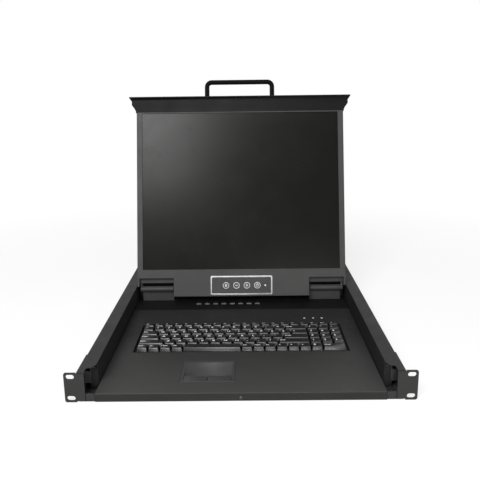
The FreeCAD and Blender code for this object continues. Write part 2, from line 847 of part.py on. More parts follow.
def light_span(turn, play=0):
    """The X and Y spans of a status light, or of its opening when given some play."""
    half_width = S.light_width / 2 + play
    half_depth = S.light_depth / 2 + play
    x = S.light_x + turn * S.light_pitch
    return (x - half_width, x + half_width), (LIGHT_Y - half_depth, LIGHT_Y + half_depth)


def make_indicator_lights():
    """Three light guides from the tray's floor to the deck."""
    guides = [block(*light_span(turn), (TRAY_FLOOR, S.deck_top + S.pad_proud)) for turn in (-1, 0, 1)]
    return seat(group(*guides), "indicator_lights")


def make_port_button(number, x):
    half_width = S.port_button_width / 2
    half_depth = S.port_button_depth / 2
    foot = BOARD_TOP + S.switch_height + S.button_travel
    button = block((x - half_width, x + half_width), (PORT_Y - half_depth, PORT_Y + half_depth),
                   (foot, S.deck_top + S.button_proud))
    return seat(group(button), f"port_button_{number}")


def make_latch(name, side):
    """A push block at the corner of the lip: a face plate and a body that slides on the tray's shelf."""
    x = mirrored(side, DECK_EDGE + S.seam / 2, EAR_INNER - S.seam)
    face = block(x, (LIP_FRONT, LIP_BACK), (S.latch_lift, S.deck_top))
    slider = block(x, (LIP_BACK, S.latch_depth - S.ear_thick - S.fit_gap), (TRAY_FLOOR, S.deck_top))
    return seat(fuse(face, slider), "latch_" + name)


# ---------- keyboard ----------

def rows_of_keys():
    """Each row's name, its front edge and depth, and its keys as widths in key units."""
    number_pad = [1, 1, 1]
    rows = [
        ("modifier_keys", [1] * 4 + [-5] + [1] * 6 + [1, 2]),
        ("lower_keys", [2.25] + [1] * 10 + [2.75] + number_pad),
        ("home_keys", [1.75] + [1] * 11 + [2.25] + number_pad),
        ("upper_keys", [1.5] + [1] * 12 + [1.5] + number_pad),
        ("number_keys", [1] * 13 + [2] + number_pad),
    ]
    for turn, (name, widths) in enumerate(rows):
        yield name, KEYS_FRONT + turn * S.key_pitch, S.key_pitch, widths
    count = int(S.function_keys.value)
    widths = [S.key_columns.value / count] * count
    yield "function_keys", KEYS_FRONT + len(rows) * S.key_pitch, S.function_depth, widths


def keycap(left, right, front, rear):
    """A keycap that narrows to its top, most of all at the front.

    A wedge's own Y is up and its Z is forward.
    """
    gap = S.key_gap / 2
    cap = doc.addObject("Part::Wedge", "Keycap")
    cap.Placement.Rotation = FreeCAD.Rotation(FreeCAD.Vector(1, 0, 0), 90)
    spans = {
        "X": (left + gap, right - gap),
        "X2": (left + gap + S.key_side_taper, right - gap - S.key_side_taper),
        "Y": (S.key_foot, S.key_top),
        "Z": (gap - rear, -gap - front),
        "Z2": (gap + S.key_rear_taper - rear, -gap - S.key_front_taper - front),
    }
    for name, (low, high) in spans.items():
        bind(cap, name + "min", low)
        bind(cap, name + "max", high)
    return cap


def make_keys():
    """A node for each row of keys, and one for the space bar, whose width is given as a negative number."""
    for name, front, depth, widths in rows_of_keys():
        caps = {name: [], "space_bar": []}
        left = -S.key_columns / 2 * S.key_pitch
        for width in widths:
            right = left + abs(width) * S.key_pitch
            caps[name if width > 0 else "space_bar"].append(keycap(left, right, front, front + depth))
            left = right
        for label, row in caps.items():
            if row:
                seat(group(*row), label)


# ---------- hinges ----------

def make_hinge(name, side):
    """A fixed hinge housing with a rounded top round the lid's pin."""
    x = mirrored(side, HINGE_INNER, HINGE_OUTER)
    front = HINGE_Y - S.barrel_r
    rear = HINGE_Y + S.barrel_r
    stand = block(x, (front, rear), (S.deck_top, S.hinge_z))
    foot = block(x, (rear, rear + S.hinge_foot), (S.deck_top, S.deck_top + S.hinge_foot))
    barrel = rod("x", (x[0], HINGE_Y, S.hinge_z), S.barrel_r, x[1] - x[0])
    bore = rod("x", (x[0], HINGE_Y, S.hinge_z), S.pin_r, x[1] - x[0])
    return seat(cut(fuse(stand, foot, barrel), bore), "hinge_housing_" + name)


def make_hinge_pins():
    """Two pins fixed in their housings, which stand out on the lid's side."""
    pins = []
    for side in SIDES.values():
        x = mirrored(side, HINGE_INNER, ARM_OUTER + S.fit_gap)
        pins.append(rod("x", (x[0], HINGE_Y, S.hinge_z), S.pin_r, x[1] - x[0]))
    return seat(group(*pins), "hinge_pins")


def make_hinge_arms():
    """The lid's side of both hinges: an eye round the pin, an arm and a leaf on the back cover."""
    arms = []
    for side in SIDES.values():
        x = mirrored(side, ARM_INNER, ARM_OUTER)
        leaf_x = mirrored(side, ARM_INNER - S.leaf_width, ARM_OUTER)
        eye = rod("x", (x[0], ZERO, ZERO), S.barrel_r, S.arm_thick)
        arm = block(x, (-S.arm_front, COVER_INSIDE), (ZERO, S.arm_height))
        leaf_z = (S.bay_bottom + 2 * S.sheet, S.arm_height)
        leaf = block(leaf_x, (COVER_INSIDE - S.sheet, COVER_INSIDE), leaf_z)
        bore = rod("x", (x[0], ZERO, ZERO), S.pin_r + S.pin_play, S.arm_thick)
        arms.append(cut(fuse(eye, arm, leaf), bore))
    return seat(group(*arms), "hinge_arms", lid=True)


# ---------- rear housing ----------

def make_housing_cover():
    """The raised cover over the electronics behind the lid, with a row of vents."""
    body = new_body("HousingCover")
    floor_plane = sketch_on(body, "XY", TRAY_FLOOR)
    plan = rectangle(floor_plane, (-DECK_EDGE, DECK_EDGE), (HOUSING_FRONT, HOUSING_REAR))
    pad(body, plan, S.housing_top - TRAY_FLOOR)
    inside = rectangle(sketch_on(body, "XY", TRAY_FLOOR), (-DECK_EDGE + S.sheet, DECK_EDGE - S.sheet),
                       (HOUSING_FRONT + S.sheet, HOUSING_REAR + S.sheet))
    pocket(body, inside, S.housing_top - S.sheet - TRAY_FLOOR, back=True)
    round_edges(body, S.bend, is_housing_edge)
    first = -(S.vent_count - 1) * S.vent_pitch / 2
    middle = (HOUSING_FRONT + HOUSING_REAR) / 2
    vent_x = (first - S.vent_width / 2, first + S.vent_width / 2)
    vent_y = (middle - S.vent_length / 2, middle + S.vent_length / 2)
    vent = rectangle(sketch_on(body, "XY", S.housing_top), vent_x, vent_y)
    repeat(body, pocket(body, vent, S.sheet), "X", (S.vent_count - 1) * S.vent_pitch, S.vent_count)
    return seat(body, "housing_cover")


def is_housing_edge(edge):
    """The cover's long top edges."""
    return along(edge, Y_AXIS) and near(edge.CenterOfMass.z, S.housing_top)


def connector_places():
    """The X of each video connector on the rear panel."""
    for turn in range(9):
        yield FIRST_PORT_X + turn * S.connector_pitch


def connector_outline(sketch, x, z, grow):
    """The D shape of a video connector, grown all round."""
    wide = S.connector_width / 2 + grow
    slim = wide - S.connector_slant
    high = S.connector_height / 2 + grow
    bottom = [(x - slim, z - high), (x + slim, z - high)]
    top = [(x + wide, z + high), (x - wide, z + high)]
    return outline(sketch, bottom + top)


def make_rear_panel():
    """The plate across the drawer's rear, with an opening for each connector and the power inlet."""
    body = new_body("RearPanel")
    rear_plane = sketch_on(body, "XZ", HOUSING_REAR)
    plate = rectangle(rear_plane, (-DECK_EDGE, DECK_EDGE), (TRAY_FLOOR, S.housing_top))
    pad(body, plate, S.sheet, back=True)
    openings = sketch_on(body, "XZ", HOUSING_REAR)
    for x in connector_places():
        connector_outline(openings, x, S.connector_z, S.fit_gap)
    rectangle(openings, (INLET_X - S.inlet_width / 2 - S.fit_gap, INLET_X + S.inlet_width / 2 + S.fit_gap),
              (S.inlet_z - S.inlet_height / 2 - S.fit_gap, S.inlet_z + S.inlet_height / 2 + S.fit_gap))
    pocket(body, openings, S.sheet)
    return seat(body, "rear_panel")


def make_video_ports():
    """A row of connectors: a moulded block on the board and a D-shaped nose through the panel."""
    ports = []
    for x in connector_places():
        body = new_body("VideoPort")
        behind = rectangle(sketch_on(body, "XZ", HOUSING_REAR - S.connector_depth),
                           (x - S.connector_width / 2, x + S.connector_width / 2),
                           (BOARD_TOP, S.connector_z + S.connector_height / 2))
        pad(body, behind, S.connector_depth - S.fit_gap, back=True)
        nose = connector_outline(sketch_on(body, "XZ", HOUSING_REAR - S.fit_gap), x, S.connector_z, ZERO)
        pad(body, nose, S.sheet + S.fit_gap + S.connector_reach, back=True)
        ports.append(body)
    return seat(group(*ports), "video_ports")


def make_switch_board():
    """The switching circuit board on posts, its chips, and the strip of switches under the port buttons."""
    front = PORT_Y - S.board_margin
    rear = HOUSING_REAR - S.fit_gap
    left = FIRST_PORT_X - S.board_margin
    right = FIRST_PORT_X + 8 * S.connector_pitch + S.board_margin
    chip_front = HOUSING_FRONT + S.chip_back
    board = block((left, right), (HOUSING_FRONT + 2 * S.sheet, rear), (S.board_z, BOARD_TOP))
    posts = [spacer("z", (x, y, TRAY_FLOOR), S.post_r, S.board_z - TRAY_FLOOR)
             for x in (left + S.board_margin, right - S.board_margin)
             for y in (HOUSING_FRONT + S.board_margin, rear - S.board_margin)]
    chip_y = (chip_front, chip_front + S.chip_size)
    chips = [block((x, x + S.chip_size), chip_y, (BOARD_TOP, BOARD_TOP + S.chip_height))
             for x in (left + turn * S.chip_pitch for turn in (1, 2, 3))]
    strip_edge = 4 * S.port_pitch + S.board_margin / 2
    strip = block((S.port_x - strip_edge, S.port_x + strip_edge), (front, PORT_Y + S.board_margin),
                  (S.board_z, BOARD_TOP))
    strip_posts = [spacer("z", (S.port_x + turn * (strip_edge - S.post_r), PORT_Y, TRAY_FLOOR), S.post_r,
                       S.board_z - TRAY_FLOOR) for turn in (-1, 1)]
    switches = [block((x - S.switch_size / 2, x + S.switch_size / 2),
                      (PORT_Y - S.switch_size / 2, PORT_Y + S.switch_size / 2),
                      (BOARD_TOP, BOARD_TOP + S.switch_height)) for x in port_places()]
    return seat(group(fuse(board, *posts, *chips), fuse(strip, *strip_posts, *switches)), "switch_board")


def make_power_supply():
    """An open-frame supply: its board on posts, a transformer, a capacitor and a heat sink with fins."""
    right = SUPPLY_RIGHT
    left = right - S.supply_width
    front = HOUSING_FRONT + S.board_margin
    rear = HOUSING_REAR - S.supply_back
    depth = rear - front
    board = block((left, right), (front, rear), (S.board_z, BOARD_TOP))
    posts = [spacer("z", (x, y, TRAY_FLOOR), S.post_r, S.board_z - TRAY_FLOOR)
             for x in (left + S.board_margin, right - S.board_margin)
             for y in (front + S.board_margin, rear - S.board_margin)]
    core = block((left + S.supply_width * 0.4, left + S.supply_width * 0.8),
                 (front + depth * 0.35, front + depth * 0.65), (BOARD_TOP, BOARD_TOP + S.core_height))
    capacitor = rod("z", (left + S.supply_width * 0.2, front + depth / 2, BOARD_TOP), S.capacitor_r,
                    S.core_height)
    sink_low = (front + depth * 0.78, front + depth * 0.78 + S.sheet)
    sink_x = (left + S.board_margin, right - S.board_margin)
    sink = block(sink_x, sink_low, (BOARD_TOP, BOARD_TOP + S.core_height))
    fins = [block((left + S.supply_width * share, left + S.supply_width * share + S.sheet),
                  (sink_low[0], sink_low[1] + S.board_margin), (BOARD_TOP, BOARD_TOP + S.core_height))
            for share in (0.2, 0.35, 0.5, 0.65, 0.8)]
    return seat(fuse(board, *posts, core, capacitor, sink, *fins), "power_supply")


def make_power_inlet():
    """A three-pin appliance inlet with a flange on the outside of the rear panel."""
    half = S.inlet_width / 2
    rise = S.inlet_height / 2
    rear = DRAWER_REAR
    flange = block((INLET_X - half - S.inlet_rim, INLET_X + half + S.inlet_rim),
                   (rear, rear + S.sheet), (S.inlet_z - rise - S.inlet_rim, S.inlet_z + rise + S.inlet_rim))
    box = block((INLET_X - half, INLET_X + half), (rear - S.inlet_depth, rear),
                (S.inlet_z - rise, S.inlet_z + rise))
    mouth = block((INLET_X - half + S.sheet, INLET_X + half - S.sheet),
                  (rear - S.inlet_depth + S.sheet, rear + S.sheet),
                  (S.inlet_z - rise + S.sheet, S.inlet_z + rise - S.sheet))
    pin_y = (rear - S.inlet_depth + S.sheet / 2, rear - S.sheet)
    pins = [block((x - S.pin_blade / 2, x + S.pin_blade / 2), pin_y, (z - S.pin_blade, z + S.pin_blade))
            for x, z in ((INLET_X - half / 2, S.inlet_z - S.pin_blade), (INLET_X, S.inlet_z + S.pin_blade),
                         (INLET_X + half / 2, S.inlet_z - S.pin_blade))]
    return seat(fuse(cut(fuse(flange, box), mouth), *pins), "power_inlet")


def make_cover_screws():
    """The lip's centre screw and the housing cover's screws, as heads seated on their sheets."""
    heads = [rod("y", (ZERO, LIP_FRONT - S.lip_screw_head, S.lip_screw_z), S.lip_screw_r, S.lip_screw_head)]
    for side in SIDES.values():
        place = (side * (DECK_EDGE - S.board_margin), HOUSING_REAR - S.board_margin, S.housing_top)
        heads.append(rod("z", place, S.screw_head_r, S.lip_screw_head))
    return seat(group(*heads), "cover_screws")


# ---------- lid ----------

def lid_outline(sketch, bay):
    """The lid from the front: a chin in the middle, a bay over each hinge and a cheek at each side."""
    right = [
        (CHIN_EDGE, -S.chin_drop), (CHIN_EDGE, bay), (CHEEK_EDGE, bay), (CHEEK_EDGE, S.cheek_bottom),
        (LID_EDGE, S.cheek_bottom), (LID_EDGE, LID_TOP),
    ]
    left = [(-x, z) for x, z in reversed(right)]
    return outline(sketch, right + left)


def lid_hollow(sketch, bay):
    """The space inside the lid's walls."""
    right = [
        (CHIN_EDGE - S.sheet, S.sheet - S.chin_drop), (CHIN_EDGE - S.sheet, bay + S.sheet),
        (LID_EDGE - S.sheet, bay + S.sheet), (LID_EDGE - S.sheet, LID_TOP - S.sheet),
    ]
    left = [(-x, z) for x, z in reversed(right)]
    return outline(sketch, right + left)


def menu_button_places():
    """The X of each button of the on-screen menu."""
    for turn in range(4):
        yield S.osd_button_x + (turn - 1.5) * S.osd_pitch


def make_lcd_bezel():
    """The front shell: a frame round the glass that widens below into the chin with its menu buttons."""
    body = new_body("LcdBezel")
    depth = S.lid_front - S.lid_split
    pad(body, lid_outline(sketch_on(body, "XZ", LID_FACE), S.bay_top), depth, back=True)
    pocket(body, lid_hollow(sketch_on(body, "XZ", -S.lid_split), S.bay_top), depth - S.sheet, back=True)
    openings = sketch_on(body, "XZ", LID_FACE)
    rectangle(openings, (-GLASS_EDGE, GLASS_EDGE), (S.glass_bottom, GLASS_TOP))
    for x in menu_button_places():
        circle(openings, x, S.osd_z, S.osd_button_r + S.fit_gap)
    light_half = S.osd_light_size / 2 + S.fit_gap
    rectangle(openings, (S.osd_light_x - light_half, S.osd_light_x + light_half),
              (S.osd_z - light_half, S.osd_z + light_half))
    pocket(body, openings, S.sheet)
    round_edges(body, S.bend, is_bezel_edge)
    return seat(body, "lcd_bezel", lid=True)


def is_bezel_edge(edge):
    """The bezel's outer front edges, up its two sides."""
    middle = edge.CenterOfMass
    return along(edge, Z_AXIS) and near(abs(middle.x), LID_EDGE) and near(middle.y, LID_FACE)


def make_lcd_back_cover():
    """The rear shell, closed in front over each hinge bay and slotted there for the hinge's arm."""
    body = new_body("LcdBackCover")
    front = -S.lid_split
    pad(body, lid_outline(sketch_on(body, "XZ", front), S.bay_bottom), S.lid_split + S.lid_back, back=True)
    pocket(body, lid_hollow(sketch_on(body, "XZ", front), S.bay_bottom), S.lid_split + COVER_INSIDE)
    bars = sketch_on(body, "XZ", front)
    slots = sketch_on(body, "XZ", front + S.sheet)
    for side in SIDES.values():
        rectangle(bars, mirrored(side, CHIN_EDGE - S.sheet, CHEEK_EDGE), (S.bay_bottom, S.bay_top + S.sheet))
        slot_z = (S.bay_bottom - S.sheet, S.bay_bottom + S.sheet)
        rectangle(slots, mirrored(side, HINGE_OUTER, CHEEK_EDGE), slot_z)
    pad(body, bars, S.sheet, back=True)
    pocket(body, slots, S.lid_split + COVER_INSIDE - S.sheet)
    round_edges(body, S.bend, is_cover_edge)
    return seat(body, "lcd_back_cover", lid=True)


def is_cover_edge(edge):
    """The back cover's outer rear edges, up its two sides."""
    middle = edge.CenterOfMass
    return along(edge, Z_AXIS) and near(abs(middle.x), LID_EDGE) and near(middle.y, S.lid_back)


def make_lcd_glass():
    """The hard front sheet of the display, held behind the bezel's frame."""
    edge = GLASS_EDGE + S.glass_lap
    sheet = block((-edge, edge), (PLATE_BACK, GLASS_BACK),
                  (S.glass_bottom - S.glass_lap, LID_TOP - S.sheet - S.fit_gap))
    return seat(group(sheet), "lcd_glass", lid=True)


def make_lcd_panel():
    """The display module behind the glass: a metal frame with its drive board's cover low on its back."""
    edge = GLASS_EDGE + S.panel_lap
    module = block((-edge, edge), (GLASS_BACK, PANEL_BACK),
                   (S.glass_bottom - S.panel_lap, LID_TOP - S.sheet - S.fit_gap))
    return seat(group(module), "lcd_panel", lid=True)


def make_lcd_board():
    """The display controller on posts from the back cover, and the menu board behind the chin."""
    front = ZERO
    back = S.board_thick
    board = block((-S.control_width / 2, S.control_width / 2), (front, back),
                  (S.control_z, S.control_z + S.control_height))
    posts = [spacer("y", (x, back, z), S.post_r, COVER_INSIDE - back)
             for x in (S.board_margin - S.control_width / 2, S.control_width / 2 - S.board_margin)
             for z in (S.control_z + S.board_margin, S.control_z + S.control_height - S.board_margin)]
    chips = [block((x, x + S.chip_size), (front - S.chip_height, front),
                   (S.control_z + S.chip_size, S.control_z + 2 * S.chip_size))
             for x in (turn * S.chip_pitch for turn in (-1, 0, 1))]
    menu_front = PLATE_BACK + S.menu_board_gap
    menu_half = S.osd_width / 2 - S.board_margin / 2
    menu = block((-menu_half, menu_half), (menu_front, menu_front + S.board_thick),
                 (S.osd_z - S.board_margin, S.osd_z + S.board_margin))
    bedded = S.menu_board_gap + S.board_thick / 2
    menu_posts = [spacer("y", (side * (menu_half - S.post_r), PLATE_BACK, S.osd_z), S.post_r, bedded)
                  for side in SIDES.values()]
    switch_y = (menu_front - S.switch_height, menu_front)
    switch_z = (S.osd_z - S.switch_size / 2, S.osd_z + S.switch_size / 2)
    switches = [block((x - S.switch_size / 2, x + S.switch_size / 2), switch_y, switch_z)
                for x in menu_button_places()]
    light_half = S.osd_light_size / 2
    light = block((S.osd_light_x - light_half, S.osd_light_x + light_half), (LID_FACE, PLATE_BACK + bedded),
                  (S.osd_z - light_half, S.osd_z + light_half))
    controller = fuse(board, *posts, *chips)
    menu_board = fuse(menu, *menu_posts, *switches, light)
    return seat(group(controller, menu_board), "lcd_board", lid=True)


def make_menu_button(number, x):
    """A round button in the chin and the stem that reaches its switch."""
    face = LID_FACE - S.osd_button_proud
    cap_back = PLATE_BACK + S.sheet / 2
    stem_back = PLATE_BACK + S.menu_board_gap - S.switch_height - S.menu_travel
    cap = rod("y", (x, face, S.osd_z), S.osd_button_r, cap_back - face)
    half = S.switch_size / 2
    stem = block((x - half, x + half), (cap_back - S.sheet / 2, stem_back), (S.osd_z - half, S.osd_z + half))
    return seat(fuse(cap, stem), f"menu_button_{number}", lid=True)


def make_menu_frame():
    """The thin bright line round the menu buttons."""
    body = new_body("MenuFrame")
    outer = (S.osd_width / 2, S.osd_height / 2)
    inner = (outer[0] - S.osd_line, outer[1] - S.osd_line)
    plate_plane = sketch_on(body, "XZ", LID_FACE)
    plate = rectangle(plate_plane, (-outer[0], outer[0]), (S.osd_z - outer[1], S.osd_z + outer[1]))
    pad(body, plate, S.osd_proud)
    window_plane = sketch_on(body, "XZ", LID_FACE)
    window = rectangle(window_plane, (-inner[0], inner[0]), (S.osd_z - inner[1], S.osd_z + inner[1]))
    pocket(body, window, S.osd_proud, back=True)
    for reach, radius in ((outer[0], S.osd_corner), (inner[0], S.osd_corner / 2)):
        round_edges(body, radius, corner_test(reach))
    return seat(body, "menu_frame", lid=True)


def corner_test(reach):
    """A test for edges along Y at a distance from the middle plane."""
    return lambda edge: along(edge, Y_AXIS) and near(abs(edge.CenterOfMass.x), reach)


def make_fascia():
    """The lid's top end, which closes the unit's front: a plate with a chamfered, hollow box behind it."""
    body = new_body("Fascia")
    foot = FLANGE_EDGE - S.lid_gap
    right = [
        (foot, LID_TOP), (foot, FASCIA_INSIDE - S.notch_depth + S.lid_gap),
        (foot + S.notch_knee, FASCIA_INSIDE - S.notch_front + S.lid_gap),
        (BLOCK_EDGE, FASCIA_INSIDE - S.notch_front + S.lid_gap + S.block_chamfer),
        (BLOCK_EDGE, FASCIA_INSIDE - S.block_shoulder), (FASCIA_EDGE, FASCIA_INSIDE),
    ]
    left = [(-x, z) for x, z in reversed(right)]
    pad(body, outline(sketch_on(body, "XZ", LID_FACE), right + left), S.lid_front + S.block_back, back=True)
    low = S.deck_top + S.fascia_clear - S.hinge_z
    high = S.unit_height - S.fit_gap - S.hinge_z
    plate = rectangle(sketch_on(body, "XY", FASCIA_INSIDE), (-FASCIA_EDGE, FASCIA_EDGE), (low, high))
    pad(body, plate, S.fascia_thick)
    wall = foot - S.block_wall
    hollow = rectangle(sketch_on(body, "XY", LID_TOP), (-wall, wall),
                       (LID_FACE + S.fascia_thick, S.block_back - S.fascia_thick))
    pocket(body, hollow, FASCIA_INSIDE - LID_TOP, back=True)
    holes = sketch_on(body, "XY", FASCIA_TOP)
    for side in SIDES.values():
        circle(holes, side * HANDLE_LEG, S.handle_y, S.screw_r + S.screw_play)
    pocket(body, holes, S.fascia_thick)
    return seat(body, "fascia", lid=True)


def bend(sketch, x, z, radius, start):
    """A quarter turn in a sketch, counter-clockwise from an angle in quarter turns."""
    centre = FreeCAD.Vector(x.value, z.value, 0)
    circle_of_bend = Part.Circle(centre, FreeCAD.Vector(0, 0, 1), radius.value)
    arc = Part.ArcOfCircle(circle_of_bend, math.radians(90 * start), math.radians(90 * (start + 1)))
    index = sketch.addGeometry(arc, False)
    fix(sketch, index, 3, x, z)
    row = sketch.addConstraint(Sketcher.Constraint("Radius", index, radius.value))
    bind(sketch, f"Constraints[{row}]", radius)
    return index


def run(sketch, start, end):
    """A straight line in a sketch."""
    spots = [FreeCAD.Vector(x.value, z.value, 0) for x, z in (start, end)]
    return sketch.addGeometry(Part.LineSegment(*spots), False)


def hoop(sketch, half, low, high, radius):
    """An open path: up one leg, round two bends and down the other leg."""
    left = bend(sketch, radius - half, high - radius, radius, 1)
    right = bend(sketch, half - radius, high - radius, radius, 0)
    left_leg = run(sketch, (-half, low), (-half, high - radius))
    bar = run(sketch, (radius - half, high), (half - radius, high))
    right_leg = run(sketch, (half, high - radius), (half, low))
    bends = ((left_leg, 2, left, 2), (bar, 1, left, 1), (bar, 2, right, 2), (right_leg, 1, right, 1))
    for line, line_end, arc, arc_end in bends:
        sketch.addConstraint(Sketcher.Constraint("Tangent", line, line_end, arc, arc_end))
    fix(sketch, left_leg, 1, -half, low)
    fix(sketch, right_leg, 2, half, low)
    return sketch


def make_handle():
    """A round bar bent to a U, tapped at both ends for its screws."""
    body = new_body("Handle")
    section = circle(sketch_on(body, "XY", FASCIA_TOP), -HANDLE_LEG, S.handle_y, S.handle_rod / 2)
    top = FASCIA_TOP + S.handle_reach - S.handle_rod / 2
    path = hoop(sketch_on(body, "XZ", S.handle_y), HANDLE_LEG, FASCIA_TOP, top, S.handle_bend)
    pipe = body.newObject("PartDesign::AdditivePipe", "Pipe")
    pipe.Profile = section
    pipe.Spine = (path, [])
    taps = sketch_on(body, "XY", FASCIA_TOP)
    for side in SIDES.values():
        circle(taps, side * HANDLE_LEG, S.handle_y, S.screw_r + S.screw_play)
    pocket(body, taps, S.handle_tap, back=True)
    return seat(body, "handle", lid=True)


def make_handle_screws():
    """The screws that hold the handle, put in from inside the fascia's box."""
    screws = []
    for side in SIDES.values():
        head_foot = (side * HANDLE_LEG, S.handle_y, FASCIA_INSIDE - S.screw_head)
        head = spacer("z", head_foot, S.screw_head_r, S.screw_head)
        shank = rod("z", (side * HANDLE_LEG, S.handle_y, FASCIA_INSIDE), S.screw_r,
                    S.fascia_thick + S.handle_tap - S.fit_gap)
        screws.append(fuse(head, shank))
    return seat(group(*screws), "handle_screws", lid=True)


# ---------- the whole drawer ----------

def make_everything():
    make_chassis_pan()
    make_ear_screws()
    for name, side in SIDES.items():
        make_ear(name, side)
        make_slides(name, side)
        make_latch(name, side)
        make_hinge(name, side)
        make_pad_button(name, side)
    make_tray()
    make_deck_cover()
    make_kvm_cover()
    make_keyboard_membrane()
    make_keyboard_frame()
    make_keys()
    make_touchpad()
    make_indicator_lights()
    for number, x in enumerate(port_places(), start=1):
        make_port_button(number, x)
    make_hinge_pins()
    make_hinge_arms()
    make_housing_cover()
    make_rear_panel()
    make_video_ports()
    make_switch_board()
    make_power_supply()
    make_power_inlet()
    make_cover_screws()
    make_lcd_bezel()
    make_lcd_back_cover()
    make_lcd_glass()
    make_lcd_panel()
    make_lcd_board()
    for number, x in enumerate(menu_button_places(), start=1):
        make_menu_button(number, x)
    make_menu_frame()
    make_fascia()
    make_handle()
    make_handle_screws()


def check_everything():
    """Stop on any object that failed, or any node whose shape is missing or not valid."""
    doc.recompute()
    for thing in doc.Objects:
        if "Invalid" in thing.State or "Error" in thing.State:
            raise ValueError(f"{thing.Name} ({thing.Label}) failed: {thing.State}")
    for node in NODES:
        if node.Shape.isNull() or not node.Shape.isValid() or not node.Shape.Solids:
            raise ValueError(f"{node.Label}: bad shape")


def write_everything():
    for node in NODES:
        node.Shape.exportStep(f"parts/{node.Label}.step")


make_everything()
check_everything()
write_everything()
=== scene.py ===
"""The looks of the rackmount LCD console drawer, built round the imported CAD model."""

import functools
import json
import math

import bmesh
import bpy
from mathutils import Matrix, Vector

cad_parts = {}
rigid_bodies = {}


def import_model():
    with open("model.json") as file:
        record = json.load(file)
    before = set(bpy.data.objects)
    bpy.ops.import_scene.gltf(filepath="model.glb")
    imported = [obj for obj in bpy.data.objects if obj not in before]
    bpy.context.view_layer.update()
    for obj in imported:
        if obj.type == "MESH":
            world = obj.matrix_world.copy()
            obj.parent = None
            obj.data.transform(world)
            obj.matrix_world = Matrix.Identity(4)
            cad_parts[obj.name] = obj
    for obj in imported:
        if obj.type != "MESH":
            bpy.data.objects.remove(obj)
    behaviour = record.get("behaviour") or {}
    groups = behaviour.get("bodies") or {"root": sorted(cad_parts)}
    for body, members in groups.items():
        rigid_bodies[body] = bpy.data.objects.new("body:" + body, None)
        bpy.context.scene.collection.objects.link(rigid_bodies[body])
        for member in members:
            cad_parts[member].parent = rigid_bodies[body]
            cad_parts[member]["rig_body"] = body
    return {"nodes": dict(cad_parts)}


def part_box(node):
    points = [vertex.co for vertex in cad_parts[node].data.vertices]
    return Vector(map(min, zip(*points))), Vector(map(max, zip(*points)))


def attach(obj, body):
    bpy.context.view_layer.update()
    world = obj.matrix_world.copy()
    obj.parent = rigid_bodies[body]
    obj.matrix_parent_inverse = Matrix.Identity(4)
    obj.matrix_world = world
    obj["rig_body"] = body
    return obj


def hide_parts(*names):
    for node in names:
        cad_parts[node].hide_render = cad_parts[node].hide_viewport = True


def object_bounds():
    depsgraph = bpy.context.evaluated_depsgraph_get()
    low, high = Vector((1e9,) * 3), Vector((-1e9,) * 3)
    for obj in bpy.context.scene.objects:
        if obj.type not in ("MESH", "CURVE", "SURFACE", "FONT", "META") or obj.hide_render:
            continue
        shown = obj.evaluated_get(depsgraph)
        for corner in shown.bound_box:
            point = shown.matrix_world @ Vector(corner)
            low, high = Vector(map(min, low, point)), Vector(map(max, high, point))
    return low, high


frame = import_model()
CAD_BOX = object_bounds()
NODES = frame["nodes"]
MM = 0.001
IN_FRONT = 0.04 * MM  # how far flat marks stand off the face under them
TINY = 1e-6  # corners nearer than this are one corner
SIDES = ("left", "right")


# ---------- camera ----------

CAMERA_ANGLES = (-0.501, 14.379, -0.703)  # degrees turned, looking down and rolled
CAMERA_PLACE = (8.107, -762.83, 401.11)  # millimetres
LENS, SENSOR = 46.05, 36


def make_camera():
    """The photograph's view: from in front and above, turned and rolled by under a degree."""
    yaw, pitch, roll = (math.radians(angle) for angle in CAMERA_ANGLES)
    ahead = Vector((math.sin(yaw), math.cos(yaw), 0))
    forward = ahead * math.cos(pitch) - Vector((0, 0, math.sin(pitch)))
    level = Vector((math.cos(yaw), -math.sin(yaw), 0))
    above = level.cross(forward)
    right = math.cos(roll) * level + math.sin(roll) * above
    up = math.cos(roll) * above - math.sin(roll) * level
    camera = bpy.data.objects.new("camera", bpy.data.cameras.new("camera"))
    camera.data.lens = LENS
    camera.data.sensor_width = SENSOR
    camera.matrix_world = Matrix((right, up, -forward)).transposed().to_4x4()
    camera.location = Vector(CAMERA_PLACE) * MM
    bpy.context.scene.collection.objects.link(camera)
    bpy.context.scene.camera = camera


# ---------- materials ----------

